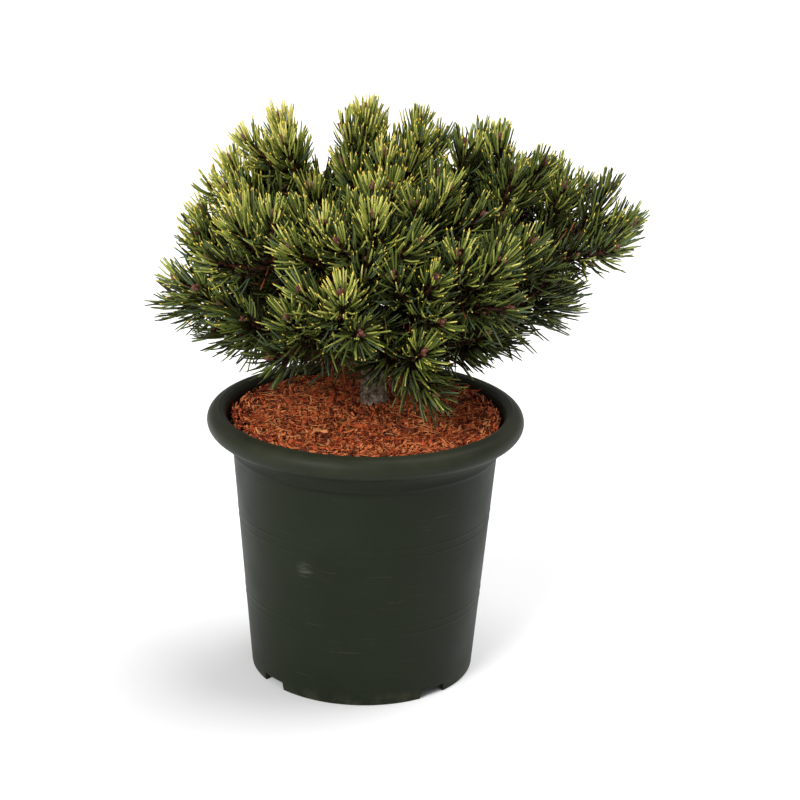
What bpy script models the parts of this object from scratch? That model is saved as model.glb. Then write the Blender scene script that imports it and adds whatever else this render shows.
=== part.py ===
"""Dwarf pine in a round nursery pot, in metres, +Z up, front towards -Y.

The pot's axis is the Z axis and the pot stands on Z = 0.  The crown is a set of masses
of needles.  Each mass grows from one stem that carries a leading shoot and side shoots.
"""
import bmesh
import bpy
import numpy as np

# Pot: radii and heights of the turned profile
POT_SEGMENTS = 48
BASE_R = 0.0968
WALL_TOP_R = 0.1132
WALL_TOP_Z = 0.1985
WALL_THICK = 0.0032
EDGE_ROUND = 0.0012
NECK_FOOT_R = 0.1150
NECK_TOP_R = 0.1182
NECK_TOP_Z = 0.2140
NECK_COVE = 0.3
NECK_ROUND = 0.0030
NECK_STEP = 0.0008
LIP_ROUND = 0.0100
LIP_CENTRE_R = 0.1250
LIP_CENTRE_Z = 0.2242
LIP_INNER_R = 0.1204
LIP_INNER_Z = 0.2332
LIP_EDGE = 0.0010
LIP_ARC_DEG = (-78, -48, -18, 12, 42, 72, 100)
FLOOR_Z = 0.0080
FLOOR_THICK = 0.0030
HUB_R = 0.0200
HUB_DRAFT = 0.0010

# Notches in the standing edge, bearings from the front towards the right
NOTCH_BEARINGS_DEG = (-51, 39, 129, 219)
NOTCH_WIDTH = 0.0250
NOTCH_HEIGHT = 0.0070
NOTCH_DEPTH = 0.0120
CUT_PAST = 0.0020

# Bark mulch
CLEARANCE = 0.0003
MULCH_SEGMENTS = 30
MULCH_RINGS = (0.16, 0.36, 0.56, 0.76, 0.92, 1.0)
MULCH_EDGE_Z = 0.2215
MULCH_TOP_Z = 0.2290
MULCH_MOUND_R = 0.0600
MULCH_ROUGH = 0.0016
MULCH_SEED = 5

# Trunk: foot on the mulch, top inside the crown, radii by height above the foot
TRUNK_FOOT = np.array([0.0070, 0.0230, MULCH_TOP_Z + CLEARANCE])
TRUNK_TOP = np.array([-0.0040, 0.0310, 0.3850])
TRUNK_RADII = (
    (0.000, 0.0145), (0.004, 0.0124), (0.014, 0.0113), (0.035, 0.0105),
    (0.070, 0.0094), (0.115, 0.0072), (0.1557, 0.0050),
)
TRUNK_FLARE_RINGS = 2
TRUNK_SIDES = 10
TRUNK_BUMP = 0.04

# Limbs: where the lowest and the highest leave the trunk, and how they taper
LOWEST_LIMB_Z = 0.2560
HIGHEST_LIMB_Z = 0.3720
LIMB_ROOT_R = 0.0034
LIMB_TIP_R = 0.0024
LIMB_PULL = 0.35
LIMB_START_OUT, LIMB_START_UP = 0.85, 0.55
BOUGH_MIN_REACH = 0.1200
BOUGH_SHARE = 0.58
BOUGH_SIDES = 5
BOUGH_RINGS = 5
STEM_SIDES = 4
STEM_RINGS = 4
LIMB_STEPS = 2000
SEAT_SHARE = 0.35

# Shoots: the length that carries needles, the bare twig below it, the needles themselves
BRUSH = 0.0400
BARE = 0.0120
TWIG_R = 0.0018
TWIG_SIDES = 3
CORE_R = 0.0042
CORE_SIDES = 4
BUD = 0.0080
SHOOT_TAIL = 0.0050
TWIG_BACK, TWIG_SUNK = 0.0010, 0.0040
CORE_TAPER = 0.25
SIDE_RISE = 0.10
SIDE_BARE_MORE = (0.004, 0.010)
SIDE_LENGTH = (0.78, 0.98)
ROLL_SWAY = 0.20
SPREAD_SWAY = (0.88, 1.12)
ROOT_STEP = 0.004
NEEDLE = 0.0330
LEAN_REAR_DEG = 62
LEAN_TIP_DEG = 20
LEAN_SWAY_DEG = 2.5
NEEDLE_SWAY = (0.85, 1.0)
LEADER_BANDS = 4
SIDE_BANDS = 3
SHORTEST_NEEDLE = 0.30
GAP = 0.0004
CROWN_SEED = 11

# Each mass, from the lowest limb to the highest: bearing in degrees round the trunk from the
# right (anticlockwise from above), reach, height of the leading bud, lift, spread of the side
# shoots in degrees and their turns round the leader (0 is to the right hand, 90 is up)
CROWN = {
    "back_low_left": (155, 0.125, 0.300, 0.0, 45, (30, 210)),
    "right_under": (-20, 0.118, 0.304, -0.1, 38, (70, 180, 350)),
    "left_low": (-160, 0.136, 0.322, -0.05, 40, (70, 190, 310)),
    "back_low_right": (28, 0.125, 0.310, 0.0, 45, (10, 190)),
    "front_low_right": (-71, 0.117, 0.303, 0.0, 48, (20, 140, 260)),
    "left_out": (-172, 0.168, 0.336, 0.05, 38, (80, 170, 300)),
    "right_low": (-3, 0.162, 0.332, 0.05, 38, (30, 110, 230)),
    "front_low_left": (-122, 0.133, 0.330, 0.1, 45, (60, 180, 300)),
    "back_far_right": (58, 0.150, 0.350, 0.2, 45, (60, 190, 310)),
    "back_far": (96, 0.150, 0.348, 0.2, 45, (0, 120, 240)),
    "back_far_left": (133, 0.145, 0.345, 0.2, 45, (20, 130, 240)),
    "front_low": (-102, 0.138, 0.357, 0.2, 45, (0, 120, 240)),
    "right_front": (-44, 0.138, 0.376, 0.2, 45, (30, 150, 270)),
    "left_side": (175, 0.148, 0.386, 0.2, 40, (60, 200, 300)),
    "right_inner": (-24, 0.138, 0.380, 0.25, 42, (20, 100, 230)),
    "front_right": (-66, 0.115, 0.362, 0.2, 42, (20, 140, 260)),
    "back_left": (150, 0.112, 0.398, 0.4, 45, (10, 130, 250)),
    "left_front": (-148, 0.138, 0.402, 0.35, 42, (160, 280, 40)),
    "back_right": (42, 0.115, 0.400, 0.4, 45, (20, 200, 300)),
    "centre_front": (-92, 0.108, 0.414, 0.4, 45, (90, 210, 330)),
    "right_tip": (-8, 0.211, 0.391, 0.12, 38, (130, 185, 350)),
    "back_top": (98, 0.080, 0.425, 0.6, 45, (50, 170, 290)),
    "left_upper": (181, 0.122, 0.432, 0.4, 40, (290, 200, 40)),
    "right_out": (6, 0.176, 0.408, 0.45, 38, (30, 150, 270)),
    "inner_left": (-160, 0.060, 0.415, 0.5, 45, (60, 190)),
    "front_left": (-113, 0.112, 0.405, 0.4, 45, (20, 140, 310)),
    "centre_right": (-46, 0.081, 0.426, 0.5, 45, (0, 120, 240)),
    "inner_back": (126, 0.060, 0.424, 0.6, 45, (20, 160)),
    "right_mid": (-8, 0.136, 0.438, 0.5, 40, (20, 90, 200)),
    "left_top": (174, 0.083, 0.466, 0.5, 38, (255, 180, 330)),
    "centre_mid": (-80, 0.034, 0.446, 0.8, 45, (30, 150, 270)),
    "upper_right": (3, 0.098, 0.453, 0.6, 40, (45, 165, 285)),
    "top_right": (44, 0.047, 0.462, 0.8, 42, (10, 130, 250)),
    "centre_top": (143, 0.015, 0.474, 1.0, 34, (170, 330)),
}

COLOURS = {
    "pot": (0.025, 0.034, 0.024),
    "mulch": (0.200, 0.065, 0.025),
    "trunk": (0.120, 0.085, 0.060),
    "bough": (0.075, 0.042, 0.028),
    "needles": (0.045, 0.085, 0.022),
}

UP = np.array([0.0, 0.0, 1.0])


def unit(v):
    return v / np.linalg.norm(v)


def clear_scene():
    for item in list(bpy.data.objects):
        bpy.data.objects.remove(item, do_unlink=True)


def material(name, colour, roughness):
    made = bpy.data.materials.new(name)
    made.use_nodes = True
    shader = made.node_tree.nodes["Principled BSDF"]
    shader.inputs["Base Color"].default_value = (*colour, 1.0)
    shader.inputs["Roughness"].default_value = roughness
    shader.inputs["Metallic"].default_value = 0.0
    made.diffuse_color = (*colour, 1.0)
    return made


def new_object(name, verts, faces, finish=None, smooth=False):
    mesh = bpy.data.meshes.new(name)
    mesh.from_pydata([tuple(v) for v in verts], [], [tuple(f) for f in faces])
    mesh.validate()
    if finish:
        mesh.materials.append(finish)
    for face in mesh.polygons:
        face.use_smooth = smooth
    made = bpy.data.objects.new(name, mesh)
    bpy.context.scene.collection.objects.link(made)
    return made


def turned(profile, segments):
    """Closed solid turned about Z from a profile that starts and ends on the axis."""
    angles = 2 * np.pi * np.arange(segments) / segments
    verts, faces = [(0.0, 0.0, profile[0][1])], []
    for radius, z in profile[1:-1]:
        verts += [(radius * np.cos(a), radius * np.sin(a), z) for a in angles]
    verts.append((0.0, 0.0, profile[-1][1]))
    last = len(verts) - 1
    for ring in range(len(profile) - 2):
        start = 1 + ring * segments
        for k in range(segments):
            here, after = start + k, start + (k + 1) % segments
            if ring == 0:
                faces.append((0, here, after))
            else:
                faces.append((here - segments, here, after, after - segments))
    start = last - segments
    for k in range(segments):
        faces.append((last, start + (k + 1) % segments, start + k))
    return verts, faces


def side_frame(direction):
    """Right hand and upward vectors square to a direction."""
    side = np.cross(direction, UP)
    if np.linalg.norm(side) < 1e-3:
        side = np.array([1.0, 0.0, 0.0])
    side = unit(side)
    return side, np.cross(side, direction)


def ring_round(direction, sides):
    """Unit spokes square to a direction."""
    angles = 2 * np.pi * np.arange(sides) / sides
    side, lifted = side_frame(unit(direction))
    return np.outer(np.cos(angles), side) + np.outer(np.sin(angles), lifted)


def tube(points, radii, runs, sides):
    """Closed limb through points, each ring square to the run of the limb there."""
    verts, faces = [], []
    for point, radius, run in zip(points, radii, runs):
        verts.extend(point + ring_round(run, sides) * radius)
    for k in range(len(points) - 1):
        for s in range(sides):
            a, b = k * sides + s, k * sides + (s + 1) % sides
            faces.append((a, b, b + sides, a + sides))
    faces.append(tuple(range(sides))[::-1])
    faces.append(tuple(range((len(points) - 1) * sides, len(points) * sides)))
    return np.array(verts), faces


def outward(obj):
    work = bmesh.new()
    work.from_mesh(obj.data)
    bmesh.ops.recalc_face_normals(work, faces=work.faces)
    work.to_mesh(obj.data)
    work.free()


def apply_boolean(obj, operation, operand=None, collection=None, solver="EXACT"):
    cut = obj.modifiers.new("join", "BOOLEAN")
    cut.operation = operation
    cut.solver = solver
    if collection:
        cut.operand_type = "COLLECTION"
        cut.collection = collection
    else:
        cut.object = operand
    graph = bpy.context.evaluated_depsgraph_get()
    result = bpy.data.meshes.new_from_object(obj.evaluated_get(graph))
    obj.modifiers.clear()
    obj.data = result


# Pot

def wall_radius(z):
    return BASE_R + (WALL_TOP_R - BASE_R) * z / WALL_TOP_Z


def pot_profile():
    floor_top = FLOOR_Z + FLOOR_THICK
    profile = [(0.0, floor_top), (wall_radius(floor_top) - WALL_THICK, floor_top)]
    profile += [(wall_radius(WALL_TOP_Z) - WALL_THICK, WALL_TOP_Z)]
    profile += [(NECK_TOP_R - WALL_THICK, NECK_TOP_Z)]
    profile += [(LIP_INNER_R - LIP_EDGE, LIP_INNER_Z - 2 * LIP_EDGE), (LIP_INNER_R, LIP_INNER_Z)]
    for angle in np.radians(LIP_ARC_DEG[::-1]):
        profile.append((LIP_CENTRE_R + LIP_ROUND * np.cos(angle),
                        LIP_CENTRE_Z + LIP_ROUND * np.sin(angle)))
    # the neck band is a shallow cove, so its middle lies nearer its foot
    neck_mid = (NECK_FOOT_R + (NECK_TOP_R - NECK_FOOT_R) * NECK_COVE, (WALL_TOP_Z + NECK_TOP_Z) / 2)
    profile += [(NECK_TOP_R + NECK_ROUND / 2, NECK_TOP_Z), (NECK_TOP_R, NECK_TOP_Z - NECK_ROUND)]
    profile += [neck_mid, (NECK_FOOT_R, WALL_TOP_Z + NECK_STEP)]
    profile += [(WALL_TOP_R, WALL_TOP_Z)]
    profile += [(wall_radius(EDGE_ROUND), EDGE_ROUND), (BASE_R - EDGE_ROUND, 0.0)]
    skirt_inner = BASE_R - WALL_THICK
    profile += [(skirt_inner, 0.0), (skirt_inner, FLOOR_Z)]
    profile += [(HUB_R + HUB_DRAFT, FLOOR_Z), (HUB_R, 0.0), (0.0, 0.0)]
    return profile


def build_pot():
    verts, faces = turned(pot_profile(), POT_SEGMENTS)
    pot = new_object("pot", verts, faces, material("pot", COLOURS["pot"], 0.45), True)
    outward(pot)
    cutters = bpy.data.collections.new("notches")
    bpy.context.scene.collection.children.link(cutters)
    for bearing in np.radians(NOTCH_BEARINGS_DEG):
        out = np.array([np.sin(bearing), -np.cos(bearing), 0.0])
        across = np.cross(UP, out)
        centre = out * (BASE_R - WALL_THICK / 2)
        corners = [centre + out * NOTCH_DEPTH / 2 * i + across * NOTCH_WIDTH / 2 * j + UP * z
                   for z in (-CUT_PAST, NOTCH_HEIGHT) for i, j in ((-1, -1), (1, -1), (1, 1), (-1, 1))]
        cutter = new_object("notch", corners, [(3, 2, 1, 0), (4, 5, 6, 7), (0, 1, 5, 4),
                                               (1, 2, 6, 5), (2, 3, 7, 6), (3, 0, 4, 7)])
        outward(cutter)
        cutter.hide_render = True
        cutter.display_type = "WIRE"
        bpy.context.scene.collection.objects.unlink(cutter)
        cutters.objects.link(cutter)
    apply_boolean(pot, "DIFFERENCE", collection=cutters)
    for cutter in list(cutters.objects):
        bpy.data.objects.remove(cutter, do_unlink=True)
    bpy.data.collections.remove(cutters)


# Mulch

def build_mulch():
    rng = np.random.default_rng(MULCH_SEED)
    foot = np.array([TRUNK_FOOT[0], TRUNK_FOOT[1]])
    angles = 2 * np.pi * np.arange(MULCH_SEGMENTS) / MULCH_SEGMENTS
    # the polygon stays inside the round wall, and its own corners clear it
    top_r = NECK_TOP_R - WALL_THICK - CLEARANCE
    rim = np.stack([np.cos(angles), np.sin(angles)], 1)
    verts, faces = [(*foot, MULCH_TOP_Z)], []
    for share in MULCH_RINGS:
        for k in range(MULCH_SEGMENTS):
            at = foot * (1 - share) + rim[k] * top_r * share
            fall = 1 - np.exp(-(np.linalg.norm(at - foot) / MULCH_MOUND_R) ** 2)
            z = MULCH_TOP_Z - (MULCH_TOP_Z - MULCH_EDGE_Z) * fall
            if share == MULCH_RINGS[0]:
                z = MULCH_TOP_Z
            elif share < 1:
                z = min(z + MULCH_ROUGH * rng.uniform(-1, 1), MULCH_TOP_Z)
            verts.append((*at, z))
    floor_top = FLOOR_Z + FLOOR_THICK + CLEARANCE
    lower = ((wall_radius(WALL_TOP_Z) - WALL_THICK - CLEARANCE, WALL_TOP_Z),
             (wall_radius(floor_top) - WALL_THICK - CLEARANCE, floor_top))
    for radius, z in lower:
        verts += [(*(r * radius), z) for r in rim]
    verts.append((0.0, 0.0, floor_top))
    rings = len(MULCH_RINGS) + len(lower)
    for ring in range(rings):
        for k in range(MULCH_SEGMENTS):
            here = 1 + ring * MULCH_SEGMENTS + k
            after = 1 + ring * MULCH_SEGMENTS + (k + 1) % MULCH_SEGMENTS
            if ring == 0:
                faces.append((0, here, after))
            else:
                faces.append((here - MULCH_SEGMENTS, here, after, after - MULCH_SEGMENTS))
    last = len(verts) - 1
    for k in range(MULCH_SEGMENTS):
        faces.append((last, last - MULCH_SEGMENTS + (k + 1) % MULCH_SEGMENTS,
                      last - MULCH_SEGMENTS + k))
    outward(new_object("mulch", verts, faces, material("mulch", COLOURS["mulch"], 0.9)))


# Trunk and limbs

def trunk_axis(z):
    return TRUNK_FOOT + (TRUNK_TOP - TRUNK_FOOT) * (z - TRUNK_FOOT[2]) / (TRUNK_TOP[2] - TRUNK_FOOT[2])


def trunk_rings():
    """Level rings of the trunk; its ribs run from foot to top."""
    angles = 2 * np.pi * np.arange(TRUNK_SIDES) / TRUNK_SIDES
    ribs = 1 - TRUNK_BUMP * np.random.default_rng(CROWN_SEED).uniform(0, 1, TRUNK_SIDES)
    spokes = np.stack([np.cos(angles) * ribs, np.sin(angles) * ribs, 0 * angles], 1)
    return [trunk_axis(TRUNK_FOOT[2] + height) + spokes * radius for height, radius in TRUNK_RADII]


def trunk_clearance(points):
    """Least distance of points from the faces of the trunk above its flare."""
    rings, planes = trunk_rings()[TRUNK_FLARE_RINGS:], []
    for low, high in zip(rings[:-1], rings[1:]):
        for k in range(TRUNK_SIDES):
            a, b, c = low[k], low[(k + 1) % TRUNK_SIDES], high[k]
            normal = unit(np.cross(b - a, c - a))
            planes.append(np.append(normal, -normal @ a))
    planes = np.array(planes)
    return (np.asarray(points) @ planes[:, :3].T + planes[:, 3]).max(axis=-1).min(axis=-1)


def build_trunk():
    verts, faces = np.concatenate(trunk_rings()), []
    for ring in range(len(TRUNK_RADII) - 1):
        for k in range(TRUNK_SIDES):
            a, b = ring * TRUNK_SIDES + k, ring * TRUNK_SIDES + (k + 1) % TRUNK_SIDES
            faces.append((a, b, b + TRUNK_SIDES, a + TRUNK_SIDES))
    faces.append(tuple(range(TRUNK_SIDES))[::-1])
    faces.append(tuple(range(len(verts) - TRUNK_SIDES, len(verts))))
    outward(new_object("trunk", verts, faces, material("trunk", COLOURS["trunk"], 0.85), True))


def bezier(ends, t):
    a, b, c, d = ends
    t = np.asarray(t, float)[..., None]
    s = 1 - t
    return s ** 3 * a + 3 * s * s * t * b + 3 * s * t * t * c + t ** 3 * d


def closest(p0, p1, q0, q1):
    """Closest points of two straight stretches."""
    u, v, w = p1 - p0, q1 - q0, p0 - q0
    a, b, c, d, e = u @ u, u @ v, v @ v, u @ w, v @ w
    spread = a * c - b * b
    s = np.clip((b * e - c * d) / spread, 0, 1) if spread > 1e-16 else 0.0
    t = (b * s + e) / c
    if t < 0:
        t, s = 0.0, np.clip(-d / a, 0, 1)
    elif t > 1:
        t, s = 1.0, np.clip((b - d) / a, 0, 1)
    return p0 + u * s, q0 + v * t


def too_close(shoot, kept, pieces):
    """True where a shoot's core or twig would touch another shoot or limb."""
    mass, root, base, aim, length, _ = shoot
    tip = base + aim * (length + BUD)
    for other, root_k, base_k, aim_k, length_k, _ in kept:
        tip_k = base_k + aim_k * (length_k + BUD)
        ways = [(base, tip, base_k, tip_k, 2 * CORE_R)]
        if other != mass:
            ways += [(base, tip, root_k, base_k, CORE_R + TWIG_R),
                     (root, base, base_k, tip_k, CORE_R + TWIG_R),
                     (root, base, root_k, base_k, 2 * TWIG_R)]
        for a, b, c, d, room in ways:
            p, q = closest(a, b, c, d)
            if np.linalg.norm(q - p) < room + GAP:
                return True
    for owner, points, radii, _ in pieces:
        for c, d, radius in zip(points[:-1], points[1:], radii[:-1]):
            p, q = closest(base, tip, c, d)
            if np.linalg.norm(q - p) < CORE_R + radius + GAP:
                return True
            p, q = closest(root, base, c, d)
            if owner != mass and np.linalg.norm(q - p) < TWIG_R + radius + GAP:
                return True
    return False


def grow_crown():
    """Limb curves and shoots (mass, root, base, direction, length, bands) of every mass."""
    rng = np.random.default_rng(CROWN_SEED)
    limbs, shoots = {}, []
    for rank, (name, plan) in enumerate(CROWN.items()):
        bearing, reach, height, lift, spread, turns = plan
        angle = np.radians(bearing)
        out = np.array([np.cos(angle), np.sin(angle), 0.0])
        bud = TRUNK_FOOT * (1, 1, 0) + out * reach + UP * height
        share = rank / (len(CROWN) - 1)
        root = trunk_axis(LOWEST_LIMB_Z + (HIGHEST_LIMB_Z - LOWEST_LIMB_Z) * share)
        start = unit(out * LIMB_START_OUT + UP * LIMB_START_UP)
        if share == 1:
            root, start = TRUNK_TOP, unit(TRUNK_TOP - TRUNK_FOOT)
        aim = unit(unit(bud - root) + UP * lift)
        node = bud - aim * (BRUSH + BARE)
        pull = np.linalg.norm(node - root) * LIMB_PULL
        limbs[name] = (root, root + start * pull, node - aim * pull, node)
        shoots.append((name, node, node + aim * BARE, aim, BRUSH, LEADER_BANDS))
        side, lifted = side_frame(aim)
        for turn in turns:
            roll = np.radians(turn) + rng.uniform(-ROLL_SWAY, ROLL_SWAY)
            tilt = np.radians(spread) * rng.uniform(*SPREAD_SWAY)
            away = side * np.cos(roll) + lifted * np.sin(roll)
            aim_k = unit(unit(aim * np.cos(tilt) + away * np.sin(tilt)) + UP * SIDE_RISE)
            length = BRUSH * rng.uniform(*SIDE_LENGTH)
            bare = BARE + rng.uniform(*SIDE_BARE_MORE)
            root_k = node - aim * rng.uniform(0.0, ROOT_STEP)
            shoots.append((name, root_k, root_k + aim_k * bare, aim_k, length, SIDE_BANDS))
    return limbs, shoots


def bezier_run(ends, t):
    a, b, c, d = ends
    t = np.asarray(t, float)[..., None]
    return 3 * (1 - t) ** 2 * (b - a) + 6 * (1 - t) * t * (c - b) + 3 * t * t * (d - c)


def limb_radius(t):
    return LIMB_ROOT_R + (LIMB_TIP_R - LIMB_ROOT_R) * t


def limb_pieces(name, ends):
    """Bough and stem of one limb as (points, radii, runs); a short limb is all stem."""
    fine = np.linspace(0, 1, LIMB_STEPS)
    path = bezier(ends, fine)
    run = np.concatenate([[0], np.cumsum(np.linalg.norm(np.diff(path, axis=0), axis=1))])
    if name == list(CROWN)[-1]:
        leave = CLEARANCE + LIMB_ROOT_R * np.linalg.norm(unit(ends[1] - ends[0])[:2])
    else:
        seat = run < run[-1] * SEAT_SHARE
        ends_here = zip(path[seat], bezier_run(ends, fine[seat]))
        caps = np.array([p + np.vstack([ring_round(r, 8), 0 * p]) * LIMB_ROOT_R for p, r in ends_here])
        leave = run[np.argmax(trunk_clearance(caps) > CLEARANCE)]

    def stretch(start, end, rings):
        at = np.interp(np.linspace(start, end, rings), run, fine)
        return bezier(ends, at), [limb_radius(t) for t in at], bezier_run(ends, at)

    if CROWN[name][1] < BOUGH_MIN_REACH:
        return None, stretch(leave, run[-1], STEM_RINGS)
    split = leave + (run[-1] - leave) * BOUGH_SHARE
    return stretch(leave, split, BOUGH_RINGS), stretch(split + CLEARANCE, run[-1], STEM_RINGS)


# Shoots kept apart by planes

def shoot_planes(index, shoots, pieces):
    """Planes (normal, offset) that hold one shoot clear of all other shoots and limbs."""
    mass, root, base, aim, length, _ = shoots[index]
    tip = base + aim * (length + BUD)
    reach = NEEDLE + CORE_R
    planes = []
    for k, (other, root_k, base_k, aim_k, length_k, _) in enumerate(shoots):
        if k == index:
            continue
        tip_k = base_k + aim_k * (length_k + BUD)
        p, q = closest(base, tip, base_k, tip_k)
        far = np.linalg.norm(q - p)
        if far < 2 * reach:
            normal = (q - p) / far
            planes.append((normal, normal @ (p + q) / 2 - GAP / 2))
        p, q = closest(base, tip, root_k, base_k)
        far = np.linalg.norm(q - p)
        if far < reach + TWIG_R:
            normal = (q - p) / far
            planes.append((normal, normal @ q - TWIG_R - GAP))
    for _, points, radii, _ in pieces:
        for a, b, radius in zip(points[:-1], points[1:], radii[:-1]):
            p, q = closest(base, tip, a, b)
            far = np.linalg.norm(q - p)
            if far < reach + radius:
                normal = (q - p) / far
                planes.append((normal, normal @ q - radius - GAP))
    return planes


def shoot_solid(shoot, planes, rng):
    """Slim core whose every face stands out as one long needle, cut short at the planes."""
    _, _, base, aim, length, bands = shoot
    side, lifted = side_frame(aim)
    verts = [base - aim * SHOOT_TAIL]
    for ring in range(bands + 1):
        share = ring / bands
        radius = CORE_R * (1.0 - CORE_TAPER * share)
        for k in range(CORE_SIDES):
            turn = 2 * np.pi * (k + 0.5 * (ring % 2)) / CORE_SIDES
            radial = side * np.cos(turn) + lifted * np.sin(turn)
            verts.append(base + aim * length * share + radial * radius)
    verts.append(base + aim * (length + BUD))
    last = len(verts) - 1
    faces = [(0, 1 + (k + 1) % CORE_SIDES, 1 + k) for k in range(CORE_SIDES)]
    start = last - CORE_SIDES
    faces += [(last, start + k, start + (k + 1) % CORE_SIDES) for k in range(CORE_SIDES)]
    for ring in range(bands):
        for k in range(CORE_SIDES):
            a = 1 + ring * CORE_SIDES + k
            b = 1 + ring * CORE_SIDES + (k + 1) % CORE_SIDES
            c, d = a + CORE_SIDES, b + CORE_SIDES
            pair = ((a, b, c), (b, d, c)) if ring % 2 == 0 else ((a, b, d), (a, d, c))
            for face in pair:
                corners = np.array([verts[i] for i in face])
                middle = corners.mean(axis=0)
                share = (middle - base) @ aim / length
                radial = unit(middle - base - aim * ((middle - base) @ aim))
                lean = np.radians(LEAN_REAR_DEG + (LEAN_TIP_DEG - LEAN_REAR_DEG) * share
                                  + rng.uniform(-LEAN_SWAY_DEG, LEAN_SWAY_DEG))
                grow = aim * np.cos(lean) + radial * np.sin(lean)
                reach = NEEDLE * rng.uniform(*NEEDLE_SWAY)
                keep = 1.0
                for normal, offset in planes:
                    room, need = offset - normal @ middle, (normal @ grow) * reach
                    if need > 0:
                        keep = min(keep, room / need)
                if keep < SHORTEST_NEEDLE:
                    faces.append(face)
                    continue
                verts.append(middle + grow * reach * keep)
                top = len(verts) - 1
                faces += [(face[0], face[1], top), (face[1], face[2], top), (face[2], face[0], top)]
    return verts, faces


def largest_piece(obj):
    """Drops loose scraps that a union leaves behind."""
    work = bmesh.new()
    work.from_mesh(obj.data)
    left, groups = set(work.verts), []
    while left:
        group, queue = set(), [left.pop()]
        while queue:
            vert = queue.pop()
            group.add(vert)
            for edge in vert.link_edges:
                other = edge.other_vert(vert)
                if other in left:
                    left.discard(other)
                    queue.append(other)
        groups.append(group)
    groups.sort(key=len)
    for group in groups[:-1]:
        bmesh.ops.delete(work, geom=list(group), context="VERTS")
    work.to_mesh(obj.data)
    work.free()


def settle_crown():
    """Boughs, stems and the shoots that find room; leading shoots are placed first."""
    limbs, shoots = grow_crown()
    boughs, stems, pieces = {}, {}, []
    for name, ends in limbs.items():
        bough, stem = limb_pieces(name, ends)
        stems[name] = stem
        pieces.append((name, *stem))
        if bough:
            boughs[name] = bough
            pieces.append((name, *bough))
    trunk = np.array([trunk_axis(TRUNK_FOOT[2] + h) for h, _ in TRUNK_RADII])
    pieces.append(("trunk", trunk, [r for _, r in TRUNK_RADII], None))
    kept = [s for s in shoots if s[5] == LEADER_BANDS]
    for shoot in shoots:
        if shoot[5] == SIDE_BANDS and not too_close(shoot, kept, pieces):
            kept.append(shoot)
    return boughs, stems, pieces, kept


def build_crown():
    boughs, stems, pieces, shoots = settle_crown()
    rng = np.random.default_rng(CROWN_SEED + 1)
    for name, bough in boughs.items():
        verts, faces = tube(*bough, BOUGH_SIDES)
        outward(new_object("bough_" + name, verts, faces,
                           material("bough_" + name, COLOURS["bough"], 0.85), True))
    solids = {name: [] for name in CROWN}
    for index, shoot in enumerate(shoots):
        name, root, base, aim, length, _ = shoot
        planes = shoot_planes(index, shoots, pieces)
        verts, faces = shoot_solid(shoot, planes, rng)
        ends = [root - aim * TWIG_BACK, base + aim * TWIG_SUNK]
        twig = tube(ends, [TWIG_R, TWIG_R], [aim, aim], TWIG_SIDES)
        solids[name] += [(verts, faces), twig]
    for name in CROWN:
        verts, faces = tube(*stems[name], STEM_SIDES)
        mass = new_object(name, verts, faces, material(name, COLOURS["needles"], 0.6))
        outward(mass)
        group = bpy.data.collections.new(name)
        bpy.context.scene.collection.children.link(group)
        for verts, faces in solids[name]:
            shoot = new_object(name + "_shoot", verts, faces)
            outward(shoot)
            bpy.context.scene.collection.objects.unlink(shoot)
            group.objects.link(shoot)
        apply_boolean(mass, "UNION", collection=group)
        for shoot in list(group.objects):
            bpy.data.objects.remove(shoot, do_unlink=True)
        bpy.data.collections.remove(group)
        largest_piece(mass)


clear_scene()
build_pot()
build_mulch()
build_trunk()
build_crown()
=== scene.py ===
"""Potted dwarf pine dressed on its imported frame: pot, bark mulch, trunk, boughs, twigs, buds, needles."""
from collections import namedtuple

import bpy
import numpy as np
from bpy.props import FloatProperty, FloatVectorProperty, IntProperty, PointerProperty
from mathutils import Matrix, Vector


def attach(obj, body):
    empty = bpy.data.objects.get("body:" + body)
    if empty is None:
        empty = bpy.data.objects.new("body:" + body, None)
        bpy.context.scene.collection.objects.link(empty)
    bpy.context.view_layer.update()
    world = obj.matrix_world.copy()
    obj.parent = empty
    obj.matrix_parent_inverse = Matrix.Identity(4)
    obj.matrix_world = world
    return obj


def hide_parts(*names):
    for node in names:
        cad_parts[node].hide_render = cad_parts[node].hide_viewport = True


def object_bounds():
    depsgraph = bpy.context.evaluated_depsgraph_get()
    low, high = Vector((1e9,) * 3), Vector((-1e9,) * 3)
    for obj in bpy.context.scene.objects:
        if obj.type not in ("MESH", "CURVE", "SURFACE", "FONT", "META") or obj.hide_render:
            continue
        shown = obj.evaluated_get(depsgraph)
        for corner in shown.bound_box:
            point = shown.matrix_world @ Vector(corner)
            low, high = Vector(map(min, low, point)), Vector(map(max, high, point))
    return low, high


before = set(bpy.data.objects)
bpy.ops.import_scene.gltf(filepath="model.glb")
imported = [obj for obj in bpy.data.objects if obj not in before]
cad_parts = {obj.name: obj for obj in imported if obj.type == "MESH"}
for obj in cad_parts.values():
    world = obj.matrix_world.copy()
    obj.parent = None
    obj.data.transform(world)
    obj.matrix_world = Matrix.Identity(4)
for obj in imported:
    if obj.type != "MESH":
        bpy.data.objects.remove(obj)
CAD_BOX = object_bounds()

bl_info = {
    "name": "Potted dwarf pine",
    "version": (1, 0, 0),
    "blender": (4, 5, 0),
    "location": "3D View > Sidebar > Pine",
    "description": "Builds a dwarf pine in a nursery pot from surfaces worked out with numpy",
    "category": "Object",
}

UP = np.array([0.0, 0.0, 1.0])
GOLDEN_TURN = np.radians(137.508)

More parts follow.
